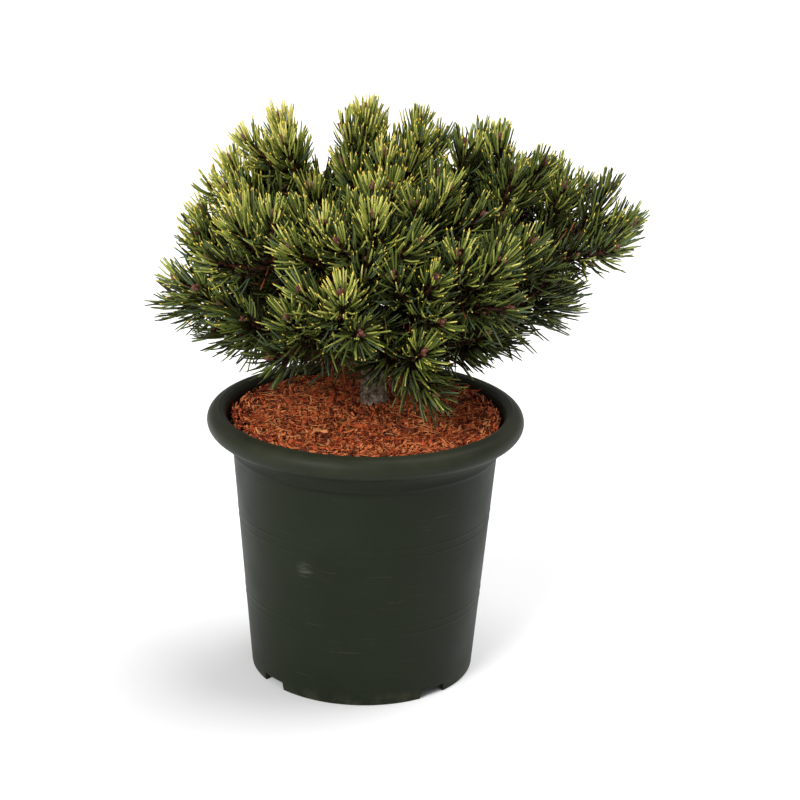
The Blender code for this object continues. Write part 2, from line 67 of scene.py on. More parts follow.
# Pot, as in the frame: radii and heights of the turned profile
BASE_R, WALL_TOP_R, WALL_TOP_Z, WALL_THICK = 0.0968, 0.1132, 0.1985, 0.0032
EDGE_ROUND = 0.0012
NECK_FOOT_R, NECK_TOP_R, NECK_TOP_Z = 0.1150, 0.1182, 0.2140
NECK_COVE, NECK_ROUND = 0.0012, 0.0030
LIP_ROUND, LIP_CENTRE_R, LIP_CENTRE_Z = 0.0100, 0.1250, 0.2242
LIP_INNER_R, LIP_INNER_Z, LIP_EDGE = 0.1204, 0.2332, 0.0010
LIP_ARC_DEG = (-78, 108)
FLOOR_Z, FLOOR_THICK = 0.0080, 0.0030
HUB_R, HUB_DRAFT = 0.0200, 0.0010
NOTCH_BEARINGS_DEG = (-51, 39, 129, 219)
NOTCH_WIDTH, NOTCH_HEIGHT = 0.0250, 0.0070

# Pot, finer than the frame: slope inside the lip, edge of a notch, height up to which its push fades
# out, fine rings, a rubbed place, points round the pot and along its lip, cove, wall and foot
LIP_SLOPE = 0.256
NOTCH_EDGE, NOTCH_SQUEEZE_Z = 0.0004, 0.0160
RING_LEVELS = (0.066, 0.073, 0.138, 0.146)
RUBBED_PLACE = (-0.0490, -0.0957, 0.1235)
POT_SIDES, LIP_STEPS, COVE_STEPS, WALL_STEPS, FOOT_STEPS = 224, 64, 14, 60, 6
INSIDE_STEPS, BELOW_STEPS = 20, 16

# Mulch, as in the frame, and the scene's bed: its sink below the frame's, and noise as (height, pitch)
MULCH_EDGE_Z, MULCH_TOP_Z, MULCH_MOUND_R = 0.2215, 0.2290, 0.0600
CLEARANCE = 0.0003
FILL_R = NECK_TOP_R - WALL_THICK
BED_SIDES, BED_RINGS, BED_SINK = 200, 60, 0.0012
BED_NOISE = ((0.0010, 0.009), (0.0007, 0.004), (0.0004, 0.002))

# Chips: corners of the outline and their sway, thickness as a share of the half width and its limits,
# bend, draw of the top face, lumps of the bed as (height, pitch); by the wall: the zone's inner share,
# how far they may stand up, sway off the wall's direction
CHIP_CORNERS = np.array([(-1.0, -0.25), (-0.45, -1.0), (0.5, -0.9), (1.0, 0.1), (0.45, 1.0), (-0.55, 0.85)])
CHIP_SWAY, CHIP_BEND, CHIP_TOP_DRAW = 0.24, 0.30, 0.82
CHIP_THICK, CHIP_THICK_LIMITS = (0.25, 0.60), (0.00025, 0.0012)
CHIP_LUMPS = (0.0014, 0.013)
WALL_ZONE, WALL_STAND, WALL_SWAY = 0.88, 0.0045, 0.35
SPIKE_GIRTH = np.array([0.8, 1.0, 0.95, 0.7])

# Trunk and limbs, as in the frame
TRUNK_FOOT = np.array([0.0070, 0.0230, MULCH_TOP_Z + CLEARANCE])
TRUNK_TOP = np.array([-0.0040, 0.0310, 0.3850])
TRUNK_RADII = (
    (0.000, 0.0145), (0.004, 0.0124), (0.014, 0.0113), (0.035, 0.0105),
    (0.070, 0.0094), (0.115, 0.0072), (0.1557, 0.0050),
)
LOWEST_LIMB_Z, HIGHEST_LIMB_Z = 0.2560, 0.3720
LIMB_ROOT_R, LIMB_TIP_R = 0.0034, 0.0024
LIMB_PULL = 0.35
LIMB_START_OUT, LIMB_START_UP = 0.85, 0.55

# Shoots, as in the frame
BRUSH, BARE, BUD = 0.0400, 0.0120, 0.0080
SIDE_RISE = 0.10
SIDE_BARE_MORE = (0.004, 0.010)
SIDE_LENGTH = (0.78, 0.98)
ROLL_SWAY = 0.20
SPREAD_SWAY = (0.88, 1.12)
ROOT_STEP = 0.004
TWIG_GIRTH = np.array([0.0021, 0.0020, 0.0018, 0.0016, 0.0013])
BUD_STEPS = np.array([0.0, 0.18, 0.42, 0.66, 0.86, 1.0])
BUD_GIRTH = np.array([0.62, 0.94, 1.0, 0.84, 0.46])
CROWN_SEED = 11
CROWN_LOW, CROWN_TALL = 0.30, 0.14

# Each mass, from the lowest limb to the highest: bearing round the trunk, reach, height of the
# leading bud, lift, spread of the side shoots and their turns round the leader
CROWN = {
    "back_low_left": (155, 0.125, 0.300, 0.0, 45, (30, 210)),
    "right_under": (-20, 0.118, 0.304, -0.1, 38, (70, 180, 350)),
    "left_low": (-160, 0.136, 0.322, -0.05, 40, (70, 190, 310)),
    "back_low_right": (28, 0.125, 0.310, 0.0, 45, (10, 190)),
    "front_low_right": (-71, 0.117, 0.303, 0.0, 48, (20, 140, 260)),
    "left_out": (-172, 0.168, 0.336, 0.05, 38, (80, 170, 300)),
    "right_low": (-3, 0.162, 0.332, 0.05, 38, (30, 110, 230)),
    "front_low_left": (-122, 0.133, 0.330, 0.1, 45, (60, 180, 300)),
    "back_far_right": (58, 0.150, 0.350, 0.2, 45, (60, 190, 310)),
    "back_far": (96, 0.150, 0.348, 0.2, 45, (0, 120, 240)),
    "back_far_left": (133, 0.145, 0.345, 0.2, 45, (20, 130, 240)),
    "front_low": (-102, 0.138, 0.357, 0.2, 45, (0, 120, 240)),
    "right_front": (-44, 0.138, 0.376, 0.2, 45, (30, 150, 270)),
    "left_side": (175, 0.148, 0.386, 0.2, 40, (60, 200, 300)),
    "right_inner": (-24, 0.138, 0.380, 0.25, 42, (20, 100, 230)),
    "front_right": (-66, 0.115, 0.362, 0.2, 42, (20, 140, 260)),
    "back_left": (150, 0.112, 0.398, 0.4, 45, (10, 130, 250)),
    "left_front": (-148, 0.138, 0.402, 0.35, 42, (160, 280, 40)),
    "back_right": (42, 0.115, 0.400, 0.4, 45, (20, 200, 300)),
    "centre_front": (-92, 0.108, 0.414, 0.4, 45, (90, 210, 330)),
    "right_tip": (-8, 0.211, 0.391, 0.12, 38, (130, 185, 350)),
    "back_top": (98, 0.080, 0.425, 0.6, 45, (50, 170, 290)),
    "left_upper": (181, 0.122, 0.432, 0.4, 40, (290, 200, 40)),
    "right_out": (6, 0.176, 0.408, 0.45, 38, (30, 150, 270)),
    "inner_left": (-160, 0.060, 0.415, 0.5, 45, (60, 190)),
    "front_left": (-113, 0.112, 0.405, 0.4, 45, (20, 140, 310)),
    "centre_right": (-46, 0.081, 0.426, 0.5, 45, (0, 120, 240)),
    "inner_back": (126, 0.060, 0.424, 0.6, 45, (20, 160)),
    "right_mid": (-8, 0.136, 0.438, 0.5, 40, (20, 90, 200)),
    "left_top": (174, 0.083, 0.466, 0.5, 38, (255, 180, 330)),
    "centre_mid": (-80, 0.034, 0.446, 0.8, 45, (30, 150, 270)),
    "upper_right": (3, 0.098, 0.453, 0.6, 40, (45, 165, 285)),
    "top_right": (44, 0.047, 0.462, 0.8, 42, (10, 130, 250)),
    "centre_top": (143, 0.015, 0.474, 1.0, 34, (170, 330)),
}

# Loose pieces on the bed. Chips: lengths, widths, depth of their layer, tilt. Fibres and fallen
# needles: lengths, girths, lift off the bed. Shares of the barks, or of the needles' colours
SMALL_CHIPS = (0.003, 0.011), (0.0007, 0.0024), 0.0034, 0.60
LARGE_CHIPS = (0.010, 0.021), (0.003, 0.008), 0.0030, 0.24
CHIP_SHARES = (0.38, 0.26, 0.23, 0.13)
FIBRES, FIBRE_SHARES = ((0.006, 0.024), (0.0002, 0.0006), (0.0, 0.0040)), (0.2, 0.4, 0.25, 0.15)
FALLEN, FALLEN_SHARES = ((0.018, 0.034), (0.0004, 0.0006), (0.0012, 0.0032)), (0.45, 0.35, 0.2)

# Finer growth that the frame leaves out: small shoots behind each leading shoot, by distance back;
# reach of the old needles along a limb, and the share of hanging ones on the right of the trunk
FINER_BACK = (0.012, 0.026, 0.042)
FINER_SPREAD_DEG = 52
FINER_LENGTH = (0.50, 0.72)
FINER_BARE = 0.006
OLD_BACK = 0.055
HANGING_RIGHT = 0.3

# Needles: lean off the shoot from its rear to its tip, share of it lost by the end, stations, girth
LEAN_REAR_DEG, LEAN_TIP_DEG = 72, 30
LEAN_SWAY_DEG = 9
BEND_IN = (0.15, 0.80)
UPSWEEP_LOW, UPSWEEP_HIGH = (-0.30, 0.40), (0.35, 0.95)
PAIR_SPREAD_DEG = 8
STATIONS = np.array([0.0, 0.30, 0.62, 0.92, 1.0])
GIRTH = np.array([0.75, 1.0, 1.0, 0.70])
SHOOT_RISE = 0.40
NEEDLE_GROUPS = 6

# Length of the needles along a shoot as (place, share), their share more on the lowest masses, and
# the least height over pot and mulch
REACH_ALONG = ((0.0, 0.12, 0.75, 1.0), (0.88, 1.0, 0.96, 0.74))
REACH_LOW, REACH_FALL = 1.14, 0.19
OVER_LIP, OVER_BED = 0.002, 0.003

# Old needles on the limbs and dead ones that hang from the low limbs: lean, bend, rise and length
OLD_LEAN_DEG, OLD_BEND, OLD_RISE, OLD_REACH = (45, 85), (0, 0.5), (-0.1, 0.3), (0.7, 0.95)
HANGING_LEAN, HANGING_BEND, HANGING_RISE, HANGING_REACH = 0.3, (0, 2), (-0.3, 0.1), (0.55, 0.95)
OLD_KINDS, HANGING_KINDS = (0.62, 0.16, 0.22), (0.55, 0.25, 0.20)

# Share of needles in lit colours, painted light and shade on the crown: low in the crown, gain high up,
# gain per metre to the left and loss, painted shade, per metre to the right, sway; for low shoots in
# front, painted light where the crown shades them: gain per metre and its limit, place and width of its left
# end
PAINTED_LIGHT_LOW, PAINTED_LIGHT_HIGH, PAINTED_LIGHT_LEFT, PAINTED_SHADE_RIGHT, PAINTED_LIGHT_SWAY = 0.18, 0.37, 2.8, 0.8, 0.10
FRONT_GAIN, FRONT_Y, FRONT_MOST, FRONT_LEFT, FRONT_FADE = -12.0, 0.05, 0.62, 0.07, 0.04
PAINTED_LIGHT_LIMITS = (0.06, 0.95)
# Shares of green, fresh and lit, painted-shade and bloomed needles that go with the painted light
GREEN_MORE, FRESH_AND_LIT_GAIN, SHADE, SHADE_FALL, BLOOM, BLOOM_FALL = 0.30, 1.1, 0.80, 0.6, 0.14, 0.12

# Wedge of sky between the left and the middle top: foot, half width there, flare, fall to the rear
WEDGE_FOOT = (-0.040, 0.030, 0.430)
WEDGE_HALF, WEDGE_FLARE, WEDGE_FALL = 0.002, 0.16, 0.36

# Kinds of needle colour, dealt out by shoot and needle; the first five run from dark to light.
# They are lit and shaded copies of the needles' green, dealt by the painted light, and shaded is painted
# shade
DEEP, MID, FRESH_AND_LIT, PALE, GOLD, BLUISH, SHADED, RUST = range(8)
NEEDLE_FINISHES = (
    ("needle_deep_green", "deep", 0.50), ("needle_green", "mid", 0.45),
    ("needle_fresh_and_lit_green", "fresh_and_lit", 0.42), ("needle_pale_green", "pale", 0.42),
    ("needle_gold_tip", "gold", 0.45), ("needle_bloomed_green", "bluish", 0.50),
    ("needle_shaded", "shaded", 0.60), ("needle_rust", "rust", 0.60),
)

# Camera: lens, distance from the point it looks at, height angle, and small turns of the frame;
# where the two soft lights come from, and how wide they are
LENS = 92.07
CAMERA_TARGET, CAMERA_DISTANCE, CAMERA_RISE_DEG = (0.0, 0.0, 0.2), 1.754, 20.1
CAMERA_TILT_DEG, CAMERA_PAN_DEG, CAMERA_ROLL_DEG = 1.24, 0.95, 0.96
KEY_FROM, KEY_WIDE_DEG = (0.38, 0.20, 1.0), 50
FRONT_FROM, FRONT_WIDE_DEG = (-0.75, -0.95, 0.80), 30

# Whole numbers that scramble a cell's place into a random value
SCRAMBLE, SCRAMBLE_MORE, SCRAMBLE_SEED = (73856093, 19349663, 83492791), 1274126177, 40503


# Colours and materials

def linear(hex_colour):
    """Linear values of an sRGB hex colour: low ones divided by 12.92, the rest raised to 2.4."""
    value = np.array([int(hex_colour[k:k + 2], 16) for k in (0, 2, 4)]) / 255
    return tuple(np.where(value <= 0.04045, value / 12.92, ((value + 0.055) / 1.055) ** 2.4))


def add(tree, kind, inputs=None, stops=None, **settings):
    """Adds a node with its settings; an input is a value or the socket that it is linked from."""
    node = tree.nodes.new(kind)
    for key, value in settings.items():
        setattr(node, key, value)
    for key, value in (inputs or {}).items():
        if isinstance(value, bpy.types.NodeSocket):
            tree.links.new(value, node.inputs[key])
        else:
            node.inputs[key].default_value = value
    for k, (place, colour) in enumerate(stops or ()):
        ramp = node.color_ramp.elements
        stop = ramp[k] if k < len(ramp) else ramp.new(place)
        stop.position, stop.color = place, (*colour, 1.0)
    return node


def new_material(name, colour, roughness, ior=1.46, specular=0.5):
    """A plain dielectric to which a finish is added; returns it with its tree and shader."""
    made = bpy.data.materials.new(name)
    made.use_nodes = True
    tree = made.node_tree
    shader = tree.nodes["Principled BSDF"]
    shader.inputs["Base Color"].default_value = (*colour, 1.0)
    shader.inputs["Roughness"].default_value = roughness
    shader.inputs["IOR"].default_value = ior
    shader.inputs["Specular IOR Level"].default_value = specular
    made.diffuse_color = (*colour, 1.0)
    return made, tree, shader


def object_place(tree):
    return add(tree, "ShaderNodeTexCoord").outputs["Object"]


def noise(tree, place, scale, detail, roughness=0.5):
    """Cloudy value from 0 to 1, its patches about 1 / scale metres across."""
    return add(tree, "ShaderNodeTexNoise", {"Vector": place, "Scale": scale, "Detail": detail,
                                            "Roughness": roughness}).outputs["Fac"]


def scales(tree, place, scale):
    """Distance to the nearest of many scattered centres, about 1 / scale metres apart."""
    return add(tree, "ShaderNodeTexVoronoi", {"Vector": place, "Scale": scale}).outputs["Distance"]


def ranged(tree, value, start, end, low=0.0, high=1.0, **settings):
    """Value carried from start..end to low..high, and held at both ends."""
    return add(tree, "ShaderNodeMapRange", {"Value": value, "From Min": start, "From Max": end,
                                            "To Min": low, "To Max": high}, **settings).outputs["Result"]


def ramped(tree, value, *stops):
    """Colour for a value, from stops of (place, colour)."""
    return add(tree, "ShaderNodeValToRGB", {"Fac": value}, stops=stops).outputs["Color"]


def product(tree, one, other):
    return add(tree, "ShaderNodeMath", {0: one, 1: other}, operation="MULTIPLY").outputs["Value"]


def laid(tree, share, under, over):
    """A plain colour laid over a socket's colour by its share."""
    return add(tree, "ShaderNodeMix", {"Factor": share, "A": under, "B": (*over, 1.0)},
               data_type="RGBA").outputs["Result"]


def finished(tree, shader, colour, relief, strength, depth, invert=False):
    """Links the colour and a fine relief of some depth to the shader."""
    tree.links.new(colour, shader.inputs["Base Color"])
    bump = add(tree, "ShaderNodeBump", {"Height": relief, "Strength": strength, "Distance": depth},
               invert=invert)
    tree.links.new(bump.outputs["Normal"], shader.inputs["Normal"])


# Surfaces

def unit(v):
    return v / np.linalg.norm(v, axis=-1, keepdims=True)


def put(name, surface, finishes, slots=None, smooth=True, replaces=()):
    """Makes a piece from vertices and arrays of faces with equal corners, and sets it on the frame."""
    verts, *groups = surface
    groups = [np.asarray(g, np.int64).reshape(-1, np.shape(g)[-1]) for g in groups]
    corners = np.concatenate([g.ravel() for g in groups])
    sizes = np.concatenate([np.full(len(g), g.shape[1]) for g in groups])
    mesh = bpy.data.meshes.new(name)
    mesh.vertices.add(len(verts))
    mesh.vertices.foreach_set("co", np.asarray(verts, np.float32).ravel())
    mesh.loops.add(len(corners))
    mesh.loops.foreach_set("vertex_index", corners.astype(np.int32))
    mesh.polygons.add(len(sizes))
    mesh.polygons.foreach_set("loop_start", (np.cumsum(sizes) - sizes).astype(np.int32))
    mesh.polygons.foreach_set("use_smooth", np.full(len(sizes), smooth))
    for finish in finishes:
        mesh.materials.append(finish)
    if slots is not None:
        slots = np.concatenate([s.ravel() for s in slots])
        mesh.polygons.foreach_set("material_index", slots.astype(np.int32))
    mesh.update(calc_edges=True)
    if mesh.validate():
        raise RuntimeError(name + " has faces that are not sound")
    made = bpy.data.objects.new(name, mesh)
    bpy.context.scene.collection.objects.link(made)
    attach(made, "root")
    if replaces:
        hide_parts(*replaces)


def lattice_noise(points, pitch, seed):
    """Smooth noise from -1 to 1: random values on a cubic lattice, blended by s*s*(3 - 2s) in each cell."""
    at = np.asarray(points) / pitch
    cell = np.floor(at).astype(np.int64)
    part = at - cell
    part = part * part * (3 - 2 * part)
    total = np.zeros(at.shape[:-1])
    for corner in np.ndindex(2, 2, 2):
        mixed = ((cell + corner) * SCRAMBLE).sum(-1) + seed * SCRAMBLE_SEED
        mixed = (mixed ^ (mixed >> 13)) * SCRAMBLE_MORE
        value = ((mixed ^ (mixed >> 16)) & 0xFFFF) / 32767.5 - 1
        total += value * np.where(corner, part, 1 - part).prod(-1)
    return total


def plates(across, along, around, seed):
    """Gap between bark plates and each plate's own value, on a surface that closes after `around` cells.

    Every cell holds one random centre; the gap is the second least distance to a centre less the least.
    """
    columns, rows = np.floor(across).astype(np.int64), np.floor(along).astype(np.int64)
    near, second, own = np.full(across.shape, 9.0), np.full(across.shape, 9.0), np.zeros(across.shape)
    for i, j in np.ndindex(3, 3):
        column, row = columns + i - 1, rows + j - 1
        mixed = (column % around) * SCRAMBLE[0] ^ row * SCRAMBLE[1] ^ seed * SCRAMBLE[2]
        mixed = (mixed ^ (mixed >> 13)) * SCRAMBLE_MORE
        a, b, value = ((mixed >> shift & 0x3FF) / 1023 for shift in (0, 10, 20))
        far = np.hypot(column + a - across, row + b - along)
        closer = far < near
        second = np.where(closer, near, np.minimum(second, far))
        own = np.where(closer, value, own)
        near = np.where(closer, far, near)
    return second - near, own


def ring_faces(rings, sides):
    """Quads between neighbouring rings of a surface that closes round its sides."""
    ring, side = np.meshgrid(np.arange(rings - 1), np.arange(sides), indexing="ij")
    after = (side + 1) % sides
    return np.stack([ring * sides + side, ring * sides + after,
                     (ring + 1) * sides + after, (ring + 1) * sides + side], -1).reshape(-1, 4)


def capped(rings, start, end):
    """Closed surface of rings (n, sides, 3), with a fan of triangles to a point at either end."""
    sides = rings.shape[1]
    verts = np.concatenate([rings.reshape(-1, 3), [start, end]])
    around = np.arange(sides)
    after = (around + 1) % sides
    last = (len(rings) - 1) * sides
    first = np.stack([np.full(sides, len(verts) - 2), around, after], -1)
    final = np.stack([np.full(sides, len(verts) - 1), last + after, last + around], -1)
    return verts, ring_faces(len(rings), sides)[:, ::-1], first, final


def turned(side, lifted, turn):
    """Directions at a turn from the side towards the lifted one."""
    turn = np.asarray(turn)[..., None]
    return side * np.cos(turn) + lifted * np.sin(turn)


def round_z(radius, angle, z=0.0):
    """Points at a radius and an angle round the vertical axis."""
    return np.stack(np.broadcast_arrays(radius * np.cos(angle), radius * np.sin(angle), z), -1)


def run_along(path):
    """Distance along a path at each of its points."""
    return np.concatenate([[0], np.cumsum(np.linalg.norm(np.diff(path, axis=0), axis=1))])


def joined(parts):
    """One mesh from many (verts, *face groups) whose groups match one by one."""
    starts = np.cumsum([0] + [len(part[0]) for part in parts[:-1]])
    groups = [np.concatenate([g.reshape(-1, g.shape[-1]) + s for g, s in zip(group, starts)])
              for group in list(zip(*parts))[1:]]
    return np.concatenate([part[0] for part in parts]), *groups


def carried(paths, radii, sides):
    """Closed spikes: a ring of spokes carried square along each path, closing in a point at its end.

    paths is (n, rings + 1, 3), radii (n, rings); returns vertices and faces as side quads, tip
    triangles and base caps.
    """
    count, rings = radii.shape
    runs = unit(np.gradient(paths, axis=1))[:, :rings]
    hint = np.where(np.abs(runs[:, :1, 2:]) > 0.9, [1.0, 0.0, 0.0], UP)
    across = unit(np.cross(runs, np.broadcast_to(hint, runs.shape)))
    raised = np.cross(across, runs)
    spokes = turned(across[:, :, None], raised[:, :, None], 2 * np.pi * np.arange(sides) / sides)
    body = paths[:, :rings, None] + spokes * radii[:, :, None, None]
    verts = np.concatenate([body.reshape(count, -1, 3), paths[:, -1:]], 1)
    start = (np.arange(count) * (rings * sides + 1))[:, None, None]
    quads = ring_faces(rings, sides)[None, :, ::-1] + start
    k = np.arange(sides)
    last = (rings - 1) * sides
    tips = np.stack([last + k, np.full(sides, rings * sides), last + (k + 1) % sides], -1)
    return verts.reshape(-1, 3), quads, tips[None] + start, k[None, None] + start


def bezier(ends, t):
    """Cubic curve of four points: the weights are those of (s + t) cubed with s = 1 - t."""
    a, b, c, d = ends
    t = np.asarray(t, float)[..., None]
    s = 1 - t
    return s ** 3 * a + 3 * s * s * t * b + 3 * s * t * t * c + t ** 3 * d


# Pot

def wall_radius(z):
    return BASE_R + (WALL_TOP_R - BASE_R) * z / WALL_TOP_Z


def stretch(start, end, count):
    """Straight run of profile points from start, without its end."""
    return np.linspace(start, end, count, endpoint=False)


def pot_profile(sizes):
    """Profile (radius, height) from the middle of the floor inside, over the lip, to the middle below.

    Straight runs, a lip that is an arc of a circle with one fine bead on it, a cove under the lip
    whose depth is a sine of the height, fine rings on the wall that are bell curves of the height,
    and a rounded foot.
    """
    floor_top = FLOOR_Z + FLOOR_THICK
    inner_foot = (wall_radius(floor_top) - WALL_THICK, floor_top)
    inner_top = (wall_radius(WALL_TOP_Z) - WALL_THICK, WALL_TOP_Z)
    neck_in = (FILL_R, NECK_TOP_Z)
    lip_in = (LIP_INNER_R - LIP_EDGE, LIP_INNER_Z - 2 * LIP_EDGE)
    angle = np.radians(np.linspace(LIP_ARC_DEG[1], LIP_ARC_DEG[0], LIP_STEPS))
    inset = LIP_CENTRE_R + LIP_ROUND * np.cos(angle) - LIP_INNER_R - sizes.bead_inset
    bead = sizes.bead_height * np.exp(-(inset / sizes.bead_width) ** 2) * (angle > 0)
    lip = np.stack([LIP_CENTRE_R + (LIP_ROUND + bead) * np.cos(angle),
                    LIP_CENTRE_Z + (LIP_ROUND + bead) * np.sin(angle)], 1)
    share = np.linspace(0, 1, COVE_STEPS)
    cove = np.stack([NECK_TOP_R + (NECK_FOOT_R - NECK_TOP_R) * share - NECK_COVE * np.sin(np.pi * share),
                     NECK_TOP_Z - NECK_ROUND + (WALL_TOP_Z + 0.0008 - NECK_TOP_Z + NECK_ROUND) * share], 1)
    near = np.linspace(-2.5, 2.5, 11) * sizes.ring_width
    z = np.concatenate([np.linspace(WALL_TOP_Z, EDGE_ROUND, WALL_STEPS),
                        *(level + near for level in RING_LEVELS)])
    z = np.unique(z)[::-1]
    ridge = sum(sizes.ring_height * np.exp(-((z - level) / sizes.ring_width) ** 2) for level in RING_LEVELS)
    wall = np.stack([wall_radius(z) + ridge, z], 1)
    turn = np.linspace(0, np.pi / 2, FOOT_STEPS)[1:]
    foot = np.stack([wall_radius(EDGE_ROUND) - EDGE_ROUND * (1 - np.cos(turn)),
                     EDGE_ROUND * (1 - np.sin(turn))], 1)
    skirt = BASE_R - WALL_THICK
    return np.concatenate([
        stretch((0.0, floor_top), inner_foot, 6), stretch(inner_foot, inner_top, 10),
        stretch(inner_top, neck_in, 3), stretch(neck_in, lip_in, 8), [lip_in], lip,
        [(NECK_TOP_R + NECK_ROUND / 2, NECK_TOP_Z)], cove, wall, foot,
        stretch((skirt + 0.0002, 0.0), (skirt, 0.0), 1), stretch((skirt, 0.0002), (skirt, FLOOR_Z), 6),
        stretch((skirt, FLOOR_Z), (HUB_R + HUB_DRAFT, FLOOR_Z), 6), [(HUB_R + HUB_DRAFT, FLOOR_Z)],
        [(HUB_R, 0.0)], [(0.0, 0.0)]])


def pot_surface(sizes):
    """The profile turned about Z; in the notches of the standing edge the wall's foot is pushed up.

    A point at height z below the squeeze height moves to notch + z * (1 - notch / squeeze height).
    """
    profile = pot_profile(sizes)
    half, edge = NOTCH_WIDTH / 2 / BASE_R, NOTCH_EDGE / BASE_R
    centres = np.radians(np.array(NOTCH_BEARINGS_DEG) - 90)
    marks = np.concatenate([centres + side * (half + step) for side in (-1, 1) for step in (-edge, edge)])
    even = np.linspace(0, 2 * np.pi, POT_SIDES, endpoint=False)
    angles = np.sort(np.concatenate([even, marks % (2 * np.pi)]))
    angles = angles[np.diff(angles, append=9) > edge / 2]
    off = np.abs((angles[:, None] - centres + np.pi) % (2 * np.pi) - np.pi).min(1)
    lift = np.where(off < half, NOTCH_HEIGHT, 0.0)
    radius, z = profile[1:-1].T
    order = np.arange(len(z))
    top = np.where(order < len(z) - BELOW_STEPS, NOTCH_SQUEEZE_Z, FLOOR_Z + 0.0001)
    pushed = (radius > BASE_R - WALL_THICK - 0.0001) & (z < top) & (order > INSIDE_STEPS)
    raised = z + np.where(pushed, lift[:, None] * (1 - z / top), 0.0)
    wide = radius + np.where(pushed, (WALL_TOP_R - BASE_R) / WALL_TOP_Z * (raised - z), 0.0)
    rings = round_z(wide, angles[:, None], raised)
    return capped(rings.transpose(1, 0, 2), (0, 0, profile[0, 1]), (0, 0, profile[-1, 1]))


def moulded_polypropylene(colours):
    """Injection-moulded polypropylene, satin: dark green with scuffs, specks of soil and dust,
    with painted shade in the creases and a lip top lightened partly as a painted highlight.
    """
    made, tree, shader = new_material("moulded_polypropylene", colours.wall, 0.50, ior=1.45, specular=0.12)
    place = object_place(tree)
    # cloudy tone of reground plastic, patches about 40 mm across
    cloud = noise(tree, place, 25.0, 5.0)
    tone = ramped(tree, cloud, (0.30, np.multiply(colours.wall, 0.88)),
                  (0.72, np.multiply(colours.wall, 1.14)))
    # scuffs: thin level scratches, 40 mm long and about 1 mm high
    along = add(tree, "ShaderNodeMapping", {"Vector": place, "Scale": (26.0, 26.0, 900.0)}).outputs["Vector"]
    worn = ramped(tree, noise(tree, along, 1.0, 4.0), (0.66, (0, 0, 0)), (0.80, (0.45, 0.45, 0.45)))
    look = laid(tree, worn, tone, colours.scuff)
    # one place rubbed pale, 12 mm across, broken up by level streaks
    away = add(tree, "ShaderNodeVectorMath", {0: place, 1: RUBBED_PLACE}, operation="DISTANCE")
    away = away.outputs["Value"]
    streaks = ranged(tree, noise(tree, along, 3.0, 3.0), 0.48, 0.60)
    rubbed = product(tree, ranged(tree, away, 0.001, 0.009, 0.55, 0.0), streaks)
    look = laid(tree, rubbed, look, np.multiply(colours.scuff, 1.8))
    # dust from the bench, in the lowest 14 mm, and specks of soil 1 to 2 mm across
    height = add(tree, "ShaderNodeSeparateXYZ", {"Vector": place}).outputs["Z"]
    foot = ranged(tree, height, 0.0, 0.014, 0.45, 0.0, interpolation_type="SMOOTHSTEP")
    patchy = ranged(tree, noise(tree, place, 60.0, 8.0, 0.7), 0.46, 0.72)
    look = laid(tree, product(tree, foot, patchy), look, colours.dust_and_sheen)
    look = laid(tree, ranged(tree, noise(tree, place, 420.0, 2.0), 0.70, 0.73), look, colours.soil)
    # painted shade: darker bands in the creases under the neck and under the lip; and a film of dust on the
    # lip, which also lightens its top as a painted highlight
    painted_crease_shade = ramped(tree, ranged(tree, height, 0.190, 0.240), *(
        (at, (grey, grey, grey)) for at, grey in (
            (0.08, 0), (0.15, 0.7), (0.19, 0), (0.38, 0), (0.46, 0.6), (0.54, 0))))
    look = laid(tree, painted_crease_shade, look, np.multiply(colours.wall, 0.45))
    # dust on the lip's top, partly a painted highlight: it lightens the top of the lip
    lip_dust_and_sheen = product(tree, ranged(tree, height, 0.215, 0.228, 0.0, 0.30), cloud)
    look = laid(tree, lip_dust_and_sheen, look, colours.dust_and_sheen)
    tree.links.new(ranged(tree, cloud, 0.3, 0.7, 0.42, 0.54), shader.inputs["Roughness"])
    # fine grain of the mould
    finished(tree, shader, look, noise(tree, place, 900.0, 2.0), 0.10, 0.0002)
    return made


# Mulch

def from_trunk(x, y):
    return np.hypot(x - TRUNK_FOOT[0], y - TRUNK_FOOT[1])


def bed_height(x, y):
    """Height of the bed: a mound round the trunk that falls off as a bell curve of the distance."""
    fall = 1 - np.exp(-(from_trunk(x, y) / MULCH_MOUND_R) ** 2)
    return MULCH_TOP_Z - (MULCH_TOP_Z - MULCH_EDGE_Z) * fall


def mulch_bed():
    """Closed solid of packed bark: polar grid, height of the mound plus noise of 9, 4 and 2 mm pitch."""
    share = np.linspace(0, 1, BED_RINGS + 1)[1:]
    angle = 2 * np.pi * np.arange(BED_SIDES) / BED_SIDES
    flat = round_z((FILL_R - CLEARANCE) * share[:, None], angle)
    rough = sum(size * lattice_noise(flat, pitch, 3) for size, pitch in BED_NOISE)
    height = bed_height(flat[..., 0], flat[..., 1]) - BED_SINK + rough * (share[:, None] < 0.999)
    top = flat + UP * height[..., None]
    floor_top = FLOOR_Z + FLOOR_THICK + CLEARANCE
    lower = [round_z(wall_radius(z) - WALL_THICK - CLEARANCE, angle, z) for z in (WALL_TOP_Z, floor_top)]
    return capped(np.concatenate([top, lower]), (0, 0, bed_height(0, 0) - BED_SINK), (0, 0, floor_top))


def turned_frames(yaw, pitch, roll):
    """Rotation matrices (n, 3, 3): roll about the length, then pitch, then yaw."""
    (cy, cp, cr), (sy, sp, sr) = ([f(angle) for angle in (yaw, pitch, roll)] for f in (np.cos, np.sin))
    return np.stack([
        np.stack([cy * cp, cy * sp * sr - sy * cr, cy * sp * cr + sy * sr], -1),
        np.stack([sy * cp, sy * sp * sr + cy * cr, sy * sp * cr - cy * sr], -1),
        np.stack([-sp, cp * sr, cp * cr], -1)], -2)


